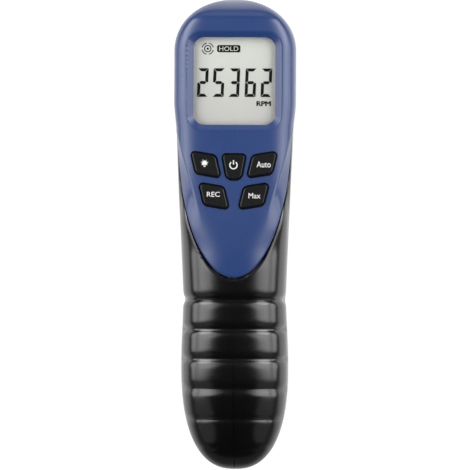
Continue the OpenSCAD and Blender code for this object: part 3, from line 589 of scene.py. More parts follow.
class Finish:
    """A material on the main shader, built up with node() and spread over the surface by Object coordinates."""

    def __init__(self, name, **constants):
        self.material = bpy.data.materials.new(name)
        self.material.use_nodes = True
        self.tree = self.material.node_tree
        self.shader = self.tree.nodes["Principled BSDF"]
        for key, value in constants.items():
            self.shader.inputs[key.replace("_", " ")].default_value = value
        self.place = self.tree.nodes.new("ShaderNodeTexCoord").outputs["Object"]

    def node(self, kind, settings, inputs, out=0):
        """Adds a node: its settings first, then values or links on its sockets. Gives one of its outputs."""
        made = self.tree.nodes.new(kind)
        for key, value in settings.items():
            if key == "stops":
                ramp = made.color_ramp
                while len(ramp.elements) < len(value):
                    ramp.elements.new(0.5)
                for element, (at, colour) in zip(ramp.elements, value):
                    element.position, element.color = at, (*colour, 1)
            else:
                setattr(made, key, value)
        for key, value in inputs.items():
            self.link(made.inputs[key], value)
        return Value(self, made.outputs[out])

    def link(self, socket, value):
        """Joins a value to a socket, or sets a number or colour on it."""
        if isinstance(value, Value):
            value = value.socket
        if isinstance(value, bpy.types.NodeSocket):
            self.tree.links.new(socket, value)
        else:
            socket.default_value = value

    def noise(self, scale, detail=2.0, rough=0.5):
        """Cloudy pattern between 0 and 1."""
        return self.node("ShaderNodeTexNoise", {},
                         {"Vector": self.place, "Scale": scale, "Detail": detail, "Roughness": rough})

    def axis(self, name):
        """One of the place's coordinates, in metres."""
        return self.node("ShaderNodeSeparateXYZ", {}, {0: self.place}, name)

    def shade(self, low, high, factor):
        """Colour between two others."""
        return self.node("ShaderNodeMix", {"data_type": "RGBA"}, {0: factor, 6: (*low, 1), 7: (*high, 1)}, 2)

    def bump(self, height, strength, distance):
        """Lets a height tilt the surface's shading."""
        self.link(self.shader.inputs["Normal"],
                  self.node("ShaderNodeBump", {}, {"Strength": strength, "Distance": distance, "Height": height}))

    def set(self, name, value):
        """Joins a value to one of the main shader's sockets."""
        self.link(self.shader.inputs[name], value)


def moulded(name, colour, rough, spread, grain, depth, **constants):
    """Moulded plastic: a fine spark-eroded grain in the surface, slow changes of gloss and tint."""
    f = Finish(name, **constants)
    slow, fine = f.noise(60.0, 3.0), f.noise(grain, 2.0, 0.6)
    dark, light = [c * (1 - spread) for c in colour], [c * (1 + spread) for c in colour]
    f.set("Base Color", f.shade(dark, light, slow))
    f.set("Roughness", rough + (slow - 0.5) * 0.1 + (fine - 0.5) * 0.08)
    f.bump(fine, 0.15, depth)
    return f.material


def plated(name, colour, rough, scale):
    """Metal with fine drawn streaks in its gloss."""
    f = Finish(name, Metallic=1.0)
    streak = f.noise(scale, 4.0, 0.7)
    f.set("Base Color", f.shade([c * 0.85 for c in colour], colour, streak))
    f.set("Roughness", rough + (streak - 0.5) * 0.2)
    f.bump(streak, 0.1, 0.00005)
    return f.material


def clear(name, colour, alpha, rough):
    """Clear pane: mostly see-through, with a polished surface."""
    f = Finish(name, Alpha=alpha, IOR=1.45)
    haze = f.noise(40.0, 2.0)
    f.set("Base Color", f.shade([c * 0.96 for c in colour], colour, haze))
    f.set("Roughness", rough + haze * 0.02)
    return f.material


def laminate(name, colour):
    """Coated circuit laminate with the faint weave of its cloth and paler tracks."""
    f = Finish(name)
    weave = f.node("ShaderNodeTexChecker", {}, {"Vector": f.place, "Scale": 900.0}, 1)
    track = f.node("ShaderNodeTexVoronoi", {"feature": "DISTANCE_TO_EDGE"}, {"Vector": f.place, "Scale": 260.0})
    f.set("Base Color", f.shade(colour, [min(1, c * 1.9) for c in colour],
                                weave * 0.15 + (track * 8).larger(0.0) * 0.2))
    f.set("Roughness", 0.3 + weave * 0.08)
    f.bump(weave, 0.1, 0.00005)
    return f.material


def display_face(name, top, foot):
    """Pale reflective display with painted shade that makes it a little greyer towards its foot, and the grain of its
    diffuser.
    """
    f = Finish(name)
    low, high = (Y_WINDOW - WINDOW_H / 2) * MM, (Y_WINDOW + WINDOW_H / 2) * MM
    along = f.node("ShaderNodeMapRange", {}, {"Value": f.axis("Y"), "From Min": low, "From Max": high})
    grain = f.noise(2500.0, 1.0)
    # Painted shade: the colour runs from the top colour to a greyer one at the display's foot
    f.set("Base Color", f.shade(foot, top, along + (grain - 0.5) * 0.25))
    f.set("Roughness", 0.55 + (grain - 0.5) * 0.1)
    return f.material


# Settings

def number(name, description, default, **more):
    """A single number for a user to change."""
    return bpy.props.FloatProperty(name=name, description=description, default=default, **more)


class TachoSizes(bpy.types.PropertyGroup):
    """Sizes of the dressed surfaces, in millimetres unless said otherwise."""

    groove_depth: number("Groove depth", "Depth of the first groove of the grip", 1.3)
    groove_half: number("Groove half width", "Half width of a groove", 1.4)
    groove_power: number("Groove shape", "Power of a groove's bell curve", 1.5)
    crease_round: number("Crease round", "Softness of the shoulder creases", 0.9)
    seam_gap: number("Seam gap", "Gap between the cover and the grip", 0.6)
    lip_span: number("Lip width", "Width of the rounded edge along the seam", 0.9)
    lip_drop: number("Lip depth", "Depth of the rounded edge along the seam", 0.35)
    wall: number("Wall", "Thickness of the moulded shells", 1.6)
    key_round: number("Key edge", "Round of a key's upper edge", 0.45)
    camera_side: number("Camera side angle", "Turn of the camera to the right", math.radians(1.4), subtype="ANGLE")
    camera_roll: number("Camera roll", "Turn of the picture", math.radians(0.26), subtype="ANGLE")
    camera_far: number("Camera distance", "Distance from the display face", 8.0, unit="LENGTH")


def colour_setting(name, description, default):
    """A colour for a user to change."""
    return bpy.props.FloatVectorProperty(name=name, description=description, default=default, size=3,
                                         min=0, max=1, subtype="COLOR")


class TachoColours(bpy.types.PropertyGroup):
    """Colours of the finishes."""

    cover: colour_setting("Cover", "Satin blue of the rear cover", (0.016, 0.044, 0.162))
    grip: colour_setting("Grip", "Black of the two halves", (0.0016, 0.0015, 0.0014))
    keys: colour_setting("Keys", "Black of the keys", (0.003, 0.003, 0.0029))
    legend: colour_setting("Legends", "White of the key legends", (0.75, 0.75, 0.75))
    display_top: colour_setting("Display top", "Upper part of the display", (0.645, 0.665, 0.615))
    # Painted shade: the display's lower part gets a greyer colour than its top
    display_foot_painted_shade: colour_setting("Display foot", "Lower part of the display", (0.52, 0.515, 0.49))
    ink: colour_setting("Segments", "Dark display segments", (0.004, 0.005, 0.0035))


class TachoLight(bpy.types.PropertyGroup):
    """Lamps and surroundings."""

    wide: number("Wide lamps", "Power of each wide side lamp", 3.5, unit="POWER")
    middle: number("Middle lamps", "Power of each middle side lamp", 3.4, unit="POWER")
    core: number("Core lamps", "Power of each small side lamp", 2.2, unit="POWER")
    crown: number("Crown lamps", "Power of each lamp beyond the crown", 2.6, unit="POWER")
    fill: number("Fill lamps", "Power of each lamp beyond the butt", 0.4, unit="POWER")
    low: number("Low lamps", "Power of each lamp beside the flanks", 1.1, unit="POWER")
    brow: number("Brow lamps", "Power of each lamp before the crown", 0.55, unit="POWER")
    room: number("Room", "Brightness of the surroundings", 0.02)


def settings():
    """Sizes, colours and light of the scene."""
    scene = bpy.context.scene
    return scene.tacho_sizes, scene.tacho_colours, scene.tacho_light


# Pieces

def slope_window(p):
    """Lowers the points between the rim's edge and the window to a straight slope, steeper along the sides."""
    inner, outer = beyond_window(p), beyond_rim(p)
    t = clamp(inner / np.maximum(inner - outer, 1e-6))
    side = ease(3 * (np.abs(p[:, 0]) / WINDOW_W - np.abs(p[:, 1] - Y_WINDOW) / WINDOW_H) + 0.5)
    depth = blend(RIM_END_DEPTH, RIM_DEPTH, side)
    slope = np.where(inner < 0, -depth, -depth * (1 - t))
    inside = (outer < 0) & (p[:, 2] > -8)
    q = p.copy()
    q[:, 2] = np.where(inside, np.minimum(p[:, 2], slope), p[:, 2])
    return q


class TACHO_OT_cover(bpy.types.Operator):
    """Blue rear cover: the upper skin inside its tongue-shaped edge, with the window's sloped rim and the key holes"""
    bl_idname = "tacho.cover"
    bl_label = "Rear cover"

    def execute(self, context):
        sizes, colours, _ = settings()
        y = stations(Y_TIP, 0.0, 120, 70, 56)
        y[0], y[-1] = Y_TIP + 0.001, Y_TOP - 0.002
        edge = seam_angle(y, 0.0)
        points = even_rows(y, edge, math.pi - edge, 190)[:, ::-1]
        for column in (0, -1):
            points = soft_edge(points, points[y < Y_NECK + 20, column], sizes.lip_span, sizes.lip_drop)
        holes = [on_side(1, lambda p, i=i: from_polygon(p[..., :2], key_outline(i)) - KEY_HOLE_GAP)
                 for i in range(len(KEYS))] + [on_side(1, beyond_window)]
        flat, tris = cut_shell(points, holes, [on_side(1, beyond_rim)], slope_window)
        blue = moulded("satin_blue", colours.cover, 0.3, 0.02, 2600.0, 0.00003, Specular_IOR_Level=0.85)
        shell, tris = thicken(flat, tris, sizes.wall)
        shell[:, 1] = np.maximum(shell[:, 1], Y_TIP)
        piece("rear_cover_skin", shell, tris, blue, "housing", "blue_shell", ["rear_cover"])
        return {"FINISHED"}


class TACHO_OT_halves(bpy.types.Operator):
    """Two black halves of the grip and nose: the skin outside the cover's edge, with openings and lips under seams"""
    bl_idname = "tacho.halves"
    bl_label = "Grip halves"

    def execute(self, context):
        sizes, colours, _ = settings()
        gap = sizes.seam_gap
        tip = Y_TIP - gap
        y = np.concatenate([Y_PALM - (Y_PALM - Y_BUTT) * np.sin(np.linspace(QUARTER, 0, 70)),
                            np.linspace(Y_PALM, tip, 66)[1:-1], stations(tip, 0.001, 90, 50, 40)])
        y[0], y[-1] = Y_BUTT + 0.002, Y_TOP - 0.002
        edge = np.where(y < tip, QUARTER, seam_angle(np.maximum(y, tip + 0.001), gap))
        last = blend(QUARTER, edge, ease((y - tip) / 15))
        right = even_rows(y, np.full_like(y, -QUARTER), last, 132, edge)
        right[..., 0] = np.maximum(right[..., 0], 0.05 + 0.12 * ease((-45 - y) / 25)[:, None])
        right = soft_edge(right, right[(y >= tip) & (y < Y_NECK + 20), -1], sizes.lip_span, sizes.lip_drop)
        openings = [
            lambda p: np.hypot(p[..., 0], p[..., 1] - Y_NOSE) - BEZEL_D / 2 - 0.15,
            lambda p: from_rounded(p, TRIGGER_Y, TRIGGER_W + 0.6, TRIGGER_LEN + 0.6, 0.4),
            lambda p: np.minimum(from_rounded(p, DOOR_MIDDLE, DOOR_W, DOOR_LEN, 0.8), from_sweep(p)),
        ]
        openings = [on_side(-1, outline) for outline in openings]
        screws = [lambda p, y=y, z=z: np.where(p[..., 0] > 8, np.hypot(p[..., 1] - y, p[..., 2] - z) - SCREW_R, NOWHERE)
                  for y, z in SCREW_AT]
        black = moulded("gloss_black", colours.grip, 0.21, 0.1, 3000.0, 0.00003, Specular_IOR_Level=1.0)
        low, high = Y_TIP - 2, Y_TIP + 1.2
        lip_thick, lip_deep, fin_half, fin_deep = 0.5, sizes.wall + 0.15, 0.045, 0.5
        turn = np.linspace(0, QUARTER, 90)
        rows = np.concatenate([low + 0.001 + (Y_NECK - low) * (1 - np.cos(turn)),
                               np.linspace(Y_NECK, Y_TOP - 3, 60)[1:]])
        inner = np.where(rows < high, QUARTER, seam_angle(np.maximum(rows, high + 0.001), Y_TIP - high))
        lip = even_rows(rows, seam_angle(rows, Y_TIP - low), inner, 8)
        lip[..., 0] = np.maximum(lip[..., 0], 0.02)
        for side, name in ((1, "right_half"), (-1, "left_half")):
            turned = [(grid * [side, 1, 1])[:, ::-side] for grid in (right, lip)]
            shell, tris = thicken(*cut_shell(turned[0], openings + (screws if side > 0 else [])), sizes.wall)
            parts = [(clear_of_sweep(shell), tris), thicken(*cut_shell(turned[1], []), lip_thick, lip_deep)]
            if side > 0:
                for end, way in ((low, 1), (DOOR_Y - 5, -1)):
                    rows = np.linspace(Y_BUTT + 3, end, 60)
                    for wide, thick, deep in ((1.0, lip_thick, lip_deep), (fin_half, sizes.wall, fin_deep)):
                        half = wide / np.maximum(2, reach(rows, np.full_like(rows, way * QUARTER)))
                        centre = even_rows(rows, way * QUARTER - half, way * QUARTER + half, 5)[:, ::-1]
                        parts.append(thicken(*cut_shell(centre, []), thick, deep))
            piece(name + "_skin", *joined(parts), black, "housing", "black_shell", [name])
        return {"FINISHED"}


class TACHO_OT_door(bpy.types.Operator):
    """Battery door: the patch of skin inside its opening, with finger ridges, its arms and its hinge rod"""
    bl_idname = "tacho.door"
    bl_label = "Battery door"

    def execute(self, context):
        _, colours, _ = settings()
        y = np.linspace(DOOR_Y - 2, DOOR_Y + DOOR_LEN + 2, 110)
        points = even_rows(y, np.full_like(y, math.radians(-140)), np.full_like(y, math.radians(-40)), 90)[:, ::-1]
        away = lambda p: -from_rounded(p, DOOR_MIDDLE, DOOR_W - 0.6, DOOR_LEN - 0.6, 0.6)

        def ridges(p):
            """Five low bell-shaped ridges near the upper end, which fade out at their ends by a smooth step."""
            pitch, half, high, reach_out = 2.4, 0.6, 0.5, 9
            line = DOOR_Y + DOOR_LEN - 6 - pitch * np.arange(5)
            bells = np.exp(-((p[:, 1:2] - line) / half) ** 2).sum(1)
            q = p.copy()
            q[:, 2] -= bells * high * ease((reach_out - np.abs(p[:, 0])) / 1.2)
            return q

        flat, tris = cut_shell(points, [away], (), ridges)
        shell = thicken(flat, tris, DOOR_WALL)
        black = moulded("door_black", colours.grip, 0.3, 0.1, 3000.0, 0.00004)

        def rod(radius, half):
            """Rod along the hinge with bevelled ends."""
            bevel, count = 0.2, 40
            ends = [(-half, radius - bevel), (-half + bevel, radius), (half - bevel, radius), (half, radius - bevel)]
            return tube([np.column_stack([np.full(count, x), circle(HINGE_Y, HINGE_Z, r, count)]) for x, r in ends])

        def arm(x):
            """Outline of an arm at x, from the door's wall, whose height is read off the skin, up to the hinge."""
            across = np.linspace(-QUARTER, -0.3, 300)
            wall = skin(np.full_like(across, HINGE_Y), across)
            foot = np.interp(abs(x), wall[:, 0], wall[:, 2]) + DOOR_WALL
            half, r = 1.7, 0.9
            outline = rounded_box(HINGE_Y - half, foot - r, HINGE_Y + half, HINGE_Z + r, r)
            return np.column_stack([np.full(len(outline), x), outline])

        arm_at, arm_half = 12.2, 1.5
        arms = [tube([arm(x) for x in np.linspace(m - arm_half, m + arm_half, 5)]) for m in (-arm_at, arm_at)]
        barrel_rod, pin = rod(2.7, 13.7), rod(1.5, 15.8)
        parts = [shell, barrel_rod, pin] + arms
        piece("battery_door_skin", *joined(parts), black, "door", "black_shell", ["battery_door"])
        return {"FINISHED"}


class TACHO_OT_keys(bpy.types.Operator):
    """Five rubber keys: rounded outlines carried up from a foot in the hole, round an edge and over the top"""
    bl_idname = "tacho.keys"
    bl_label = "Keys"

    def execute(self, context):
        sizes, colours, _ = settings()
        rubber = moulded("key_rubber", colours.keys, 0.3, 0.08, 4200.0, 0.00003, Specular_IOR_Level=0.5)
        edge, foot = sizes.key_round, 0.45
        foot_low, foot_high = -2.4, -1.8
        turn = np.linspace(0, QUARTER, 7)
        inset = np.concatenate([[-foot, -foot, 0.0], edge * (1 - np.cos(turn)), [edge + 0.25]])
        height = np.concatenate([[foot_low, foot_high, foot_high + 0.05], KEY_PROUD - edge + edge * np.sin(turn),
                                 [KEY_PROUD]])
        for i, name in enumerate(KEYS):
            outlines = [key_outline(i, -e) for e in inset]
            rings = [np.column_stack([outline, np.full(len(outline), z)]) for outline, z in zip(outlines, height)]
            piece(name + "_key_cap", *tube(rings), rubber, name + "_button", "key_rubber", [name + "_key"])
        return {"FINISHED"}


def photo_box(x0, y0, x1, y1, shift=0.0):
    """Box in millimetres from the places of its sides as read off the display view, which starts at the crown."""
    x0, x1 = ((x - VIEW_MIDDLE) * VIEW_SCALE - shift for x in (x0, x1))
    return x0, Y_TOP - VIEW_SCALE * y1, x1, Y_TOP - VIEW_SCALE * y0


def bar(a, b, wide):
    """Flat four-cornered stroke from a to b."""
    a, b = np.asarray(a, float), np.asarray(b, float)
    along = (b - a) / np.linalg.norm(b - a)
    across = np.array([-along[1], along[0]]) * wide / 2
    return np.array([a - across, b - across, b + across, a + across])


def arc(centre, r, wide, first, last, steps=28):
    """Flat curved stroke: an inner and an outer round between two directions."""
    a = np.linspace(first, last, steps)
    out = np.asarray(centre) + (r + wide / 2) * np.stack([np.cos(a), np.sin(a)], -1)
    back = np.asarray(centre) + (r - wide / 2) * np.stack([np.cos(a[::-1]), np.sin(a[::-1])], -1)
    return np.concatenate([out, back])


def strip(outline, low, high):
    """Closed plate from an outline made of two equal runs, so a bent stroke has clean ends."""
    n = len(outline) // 2
    out, back = outline[:n], outline[n:][::-1]
    flat = np.stack([out, back], 1)
    four = np.concatenate([np.concatenate([flat, np.full((n, 2, 1), z)], -1) for z in (low, high)], 1)[:, [0, 1, 3, 2]]
    return tube(four)


class TACHO_OT_legends(bpy.types.Operator):
    """White signs and words on the keys"""
    bl_idname = "tacho.legends"
    bl_label = "Key legends"

    def execute(self, context):
        _, colours, _ = settings()
        white = moulded("legend_white", colours.legend, 0.5, 0.02, 4000.0, 0.00002)
        low, thick = KEY_PROUD - 0.01, 0.04
        high = low + thick
        for key, text, box in (("auto", "Auto", (256.0, 161.5, 270.0, 167.5)),
                               ("record", "REC", (206.5, 192.1, 219.5, 197.0)),
                               ("max", "Max", (248.0, 193.0, 260.0, 198.5))):
            words(key + "_legend", text, photo_box(*box), low, thick, white, key + "_button", "white_plastic", 0.015)
        x, y = photo_box(232.9, 165.4, 232.9, 165.4)[:2]
        gap = math.radians(38)
        stroke = 0.5
        ring = strip(arc((x, y), 1.55, stroke, QUARTER + gap, 5 * QUARTER - gap), low, high)
        stem = slab(bar((x, y + 0.3), (x, y + 2.1), stroke), low, high)
        piece("power_legend", *joined([ring, stem]), white, "power_button", "white_plastic")
        x, y = photo_box(204.1, 164.0, 204.1, 164.0)[:2]
        bulb_y, ray_in, ray_out, ray_wide = y + 0.2, 1.25, 1.6, 0.22
        bulb = slab(circle(x, bulb_y, 1.1, 24), low, high)
        foot = slab(bar((x, y - 1.4), (x, y - 0.6), 0.8), low, high)
        rays = [slab(bar(*([x + r * math.cos(t), bulb_y + r * math.sin(t)] for r in (ray_in, ray_out)), ray_wide),
                     low, high) for t in np.radians([-30, 15, 60, 120, 165, 210])]
        piece("backlight_legend", *joined([bulb, foot] + rays), white, "backlight_button", "white_plastic")
        return {"FINISHED"}


SEGMENTS = {"2": "abged", "5": "afgcd", "3": "abgcd", "6": "afgedc"}


def digit(sign, box, wide, lean):
    """Seven-segment figure leant over: bars mitred at the corners with their long edge outside, and the middle
    one pointed."""
    x0, y0, x1, y1 = box
    w, h, m, e = wide, wide / 2, (y0 + y1) / 2, 0.09
    top = [(x0 + w + e, y1 - w), (x1 - w - e, y1 - w), (x1 - e, y1), (x0 + e, y1)]
    side = [(x0, m + e), (x0 + h, m + e), (x0 + w, m + h + e), (x0 + w, y1 - w - e), (x0, y1 - e)]
    centre = [(x0 + h + e, m), (x0 + w + e, m - h), (x1 - w - e, m - h),
              (x1 - h - e, m), (x1 - w - e, m + h), (x0 + w + e, m + h)]
    across = lambda bar: [(x0 + x1 - x, y) for x, y in bar[::-1]]
    down = lambda bar: [(x, 2 * m - y) for x, y in bar[::-1]]
    bars = {"a": top, "d": down(top), "g": centre, "f": side,
            "b": across(side), "e": down(side), "c": down(across(side))}
    lit = [np.array(bars[name], float) for name in SEGMENTS[sign]]
    return [np.stack([one[:, 0] + lean * (one[:, 1] - m), one[:, 1]], -1) for one in lit]


class TACHO_OT_display(bpy.types.Operator):
    """Display: the pale cell, its dark segments, words and target sign, and the clear pane over them"""
    bl_idname = "tacho.display"
    bl_label = "Display"

    def execute(self, context):
        sizes, colours, _ = settings()
        # The display's colour is painted greyer towards its foot: painted shade
        face = display_face("display_face", colours.display_top, colours.display_foot_painted_shade)
        ink = moulded("segment_ink", colours.ink, 0.5, 0.05, 3000.0, 0.00001, Specular_IOR_Level=0.15)
        pane = clear("display_pane", (0.02, 0.02, 0.02), 0.03, 0.04)
        for node, material in (("lcd_cell", face), ("display_window", pane)):
            dress(node, material)
        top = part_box("lcd_cell")[1][2] / MM - LIFT
        low, high = top + 0.004, top + 0.02
        shift = -top * math.sin(sizes.camera_side)
        read = lambda *box: photo_box(*box, shift)
        figures = ((196.6, 207.3), (212.1, 223.3), (228.0, 238.7), (244.1, 255.1), (260.0, 270.7))
        top_y, foot_y, stroke, lean = 68.9, 97.4, 1.32, 0.04
        shapes = [slab(s, low, high) for sign, (x0, x1) in zip("25362", figures)
                  for s in digit(sign, read(x0, top_y, x1, foot_y), stroke, lean)]
        piece("reading", *joined(shapes), ink, "housing", "dark_plastic")
        words("unit_words", "RPM", read(255.4, 101.4, 270.0, 106.5), low, 0.016, ink, "housing", "dark_plastic", 0.17)
        x0, y0, x1, y1 = read(216.0, 45.7, 239.3, 53.0)
        piece("hold_badge", *slab(rounded_box(x0, y0, x1, y1, 0.7), low, high), ink, "housing", "dark_plastic")
        words("hold_words", "HOLD", (x0 + 0.9, y0 + 0.6, x1 - 0.9, y1 - 0.6), high, 0.01, face, "housing", "display")
        x, y = read(206.7, 49.4, 206.7, 49.4)[:2]
        target = [strip(arc((x, y), 2.4, 0.42, k * QUARTER + 0.2, (k + 1) * QUARTER - 0.2, 10), low, high)
                  for k in range(4)]
        target.append(strip(arc((x, y), 1.35, 0.45, 0, 1.999 * math.pi, 30), low, high))
        target.append(slab(circle(x, y, 0.5, 20), low, high))
        piece("target_sign", *joined(target), ink, "housing", "dark_plastic")
        return {"FINISHED"}


def dress(node, material):
    """Gives a carried-over node of the frame its finish."""
    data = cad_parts[node].data
    if data.materials:
        for i in range(len(data.materials)):
            data.materials[i] = material
    else:
        data.materials.append(material)


class TACHO_OT_nose(bpy.types.Operator):
    """Nose: a turned bezel with rounded edges and a tinted filter with a thin rim"""
    bl_idname = "tacho.nose"
    bl_label = "Nose"

    def execute(self, context):
        dark = moulded("bezel_black", (0.014, 0.014, 0.015), 0.38, 0.1, 2600.0, 0.00005)
        outer, neck, bore, inner = BEZEL_D / 2, 16.85, 15.15, 13.0
        bezel = [(inner, 0.5), (inner + 0.5, 0.0), (outer - 0.5, 0.0), (outer - 0.15, 0.15), (outer, 0.5),
                 (outer, 1.6), (neck, 1.6), (neck, 8.6), (bore, 8.6), (bore, 2.6), (inner, 2.6)]
        ring = lathe(np.array(bezel) - [0, LIFT], (0, Y_NOSE))
        piece("nose_ring", *ring, dark, "housing", "dark_plastic", ["nose_bezel"])
        filt = clear("red_filter", (0.35, 0.015, 0.03), 0.55, 0.05)
        r, low, high, bevel = 15.0, 2.6, 4.1, 0.3
        pane = [(0.01, low), (r - bevel, low), (r, low + bevel), (r, high - bevel), (r - bevel, high), (0.01, high)]
        disc = lathe(np.array(pane) - [0, LIFT], (0, Y_NOSE))
        piece("filter_pane", *disc, filt, "housing", "red_pane", ["front_window"])
        return {"FINISHED"}


class TACHO_OT_trigger(bpy.types.Operator):
    """Trigger: a block with a hollowed finger face and rounded sides, its flange and the pin that meets the switch"""
    bl_idname = "tacho.trigger"
    bl_label = "Trigger"

    def execute(self, context):
        dark = moulded("trigger_black", (0.012, 0.012, 0.013), 0.36, 0.1, 2600.0, 0.00006)
        low, high = drawn(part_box("trigger"))
        back, flange_thick, flange_wide = TRIGGER_BACK, 1.6, 1.5
        lip = back - flange_thick
        u, a = np.linspace(-1, 1, 40), np.linspace(-1, 1, 25)
        face = low[2] + 0.25 + 0.9 * np.exp(-((u + 0.1) / 0.55) ** 2) + 3.2 * np.abs(u) ** 9
        grid = np.stack(np.broadcast_arrays(a[None] * TRIGGER_W / 2, (TRIGGER_Y + u * TRIGGER_LEN / 2)[:, None],
                                            face[:, None] + 1.6 * np.abs(a[None]) ** 6), -1)
        border = np.concatenate([grid[0], grid[1:, -1], grid[-1, ::-1][1:], grid[::-1, 0][1:-1]])
        skirt = border.copy()
        skirt[:, 2] = lip + 0.4
        skin_part = (grid.reshape(-1, 3), split(grid_faces(*grid.shape[:2])[:, ::-1]))
        count = len(border)
        k = np.arange(count)
        nxt = (k + 1) % count
        sides = (np.concatenate([border, skirt]), split(np.stack([k, nxt, nxt + count, k + count], -1)))
        lid = (np.concatenate([skirt, [[0, TRIGGER_Y, lip + 0.4]]]), np.stack([k, nxt, np.full(count, count)], -1))
        body = weld(*joined([skin_part, sides, lid]))
        w, h = TRIGGER_W / 2 + flange_wide, TRIGGER_LEN / 2 + flange_wide
        flange = rounded_box(-w, TRIGGER_Y - h, w, TRIGGER_Y + h, 0.8)
        pin = circle(0, TRIGGER_Y + 5, 1.5, 32)
        parts = [body, slab(flange, lip, back), slab(pin, back - 0.2, high[2])]
        piece("trigger_form", *joined(parts), dark, "trigger", "dark_plastic", ["trigger"])
        return {"FINISHED"}


class TACHO_OT_inside(bpy.types.Operator):
    """Finishes of the pieces inside that keep the frame's own shapes"""
    bl_idname = "tacho.inside"
    bl_label = "Inside"

    def execute(self, context):
        board = laminate("green_laminate", (0.02, 0.13, 0.055))
        steel = plated("plated_steel", (0.60, 0.60, 0.62), 0.32, 900.0)
        brass = plated("turned_brass", (0.62, 0.44, 0.17), 0.28, 1200.0)
        pale = moulded("pale_plastic", (0.78, 0.78, 0.75), 0.45, 0.03, 2000.0, 0.00004)
        dark = moulded("dark_plastic", (0.02, 0.02, 0.022), 0.45, 0.1, 2000.0, 0.00005)
        rubber = moulded("contact_rubber", (0.42, 0.17, 0.2), 0.6, 0.1, 1800.0, 0.00005)
        can = moulded("battery_can", (0.06, 0.06, 0.065), 0.3, 0.08, 800.0, 0.00003, Metallic=0.6)
        glass = clear("lens_glass", (0.85, 0.92, 0.95), 0.3, 0.03)
        ruby = clear("laser_lens", (0.7, 0.12, 0.12), 0.6, 0.05)
        finishes = {
            board: ["main_board", "sensor_board", "trigger_board"],
            steel: ["board_screws", "housing_screws", "clock_crystal"],
            brass: ["laser_module"],
            pale: ["lcd_frame", "backlight_panel"] + [k + "_plunger" for k in KEYS],
            dark: ["switch_bases", "control_chip", "optics_holder", "photodiode", "trigger_switch",
                   "battery_snap"],
            rubber: ["contact_strips"],
            can: ["battery"],
            glass: ["receiver_lens"],
            ruby: ["laser_lens"],
        }
        for material, nodes in finishes.items():
            for node in nodes:
                dress(node, material)
        low, high = drawn(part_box("trigger_spring"))
        wire, turns, length = 0.35, 4, high[2] - low[2]
        t = np.linspace(0, 2 * math.pi * turns, 36 * turns + 1)[:, None]
        a = np.linspace(0, 2 * math.pi, 12, endpoint=False)[None]
        r = (high[0] - low[0]) / 2 - wire + wire * np.cos(a)
        middle_x, middle_y = (low[:2] + high[:2]) / 2
        rise = low[2] + wire + (length - 2 * wire) * t / t[-1] + wire * np.sin(a)
        rings = np.stack([middle_x + r * np.cos(t), middle_y + r * np.sin(t), rise], -1)[:, ::-1]
        coil = piece("trigger_coil", *tube(rings), steel, "housing", "steel", ["trigger_spring"])
        1 - TRIGGER_STROKE / length
        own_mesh(coil)
        return {"FINISHED"}


LAMPS = {  # turn and rise in degrees, height and width in metres, outline
    "wide": (4, 38, 1.8, 1.2, "ELLIPSE"),
    "middle": (6, 43, 1.11, 1.0, "RECTANGLE"),
    "core": (6, 46, 0.61, 1.0, "RECTANGLE"),
    "crown": (33, 37, 0.63, 0.73, "ELLIPSE"),
    "fill": (-45, 20, 0.9, 0.8, "ELLIPSE"),
    "low": (0, 9, 0.34, 0.8, "ELLIPSE"),
    "brow": (78, 16, 0.9, 0.7, "ELLIPSE"),
}


def stand(obj, x, y, z, at):
    """Puts an object into the scene with its three axes and its place as the columns of its matrix."""
    m = np.eye(4)
    m[:3] = np.stack([x, y, z, at], -1)
    obj.matrix_world = Matrix(m.tolist())
    bpy.context.scene.collection.objects.link(obj)


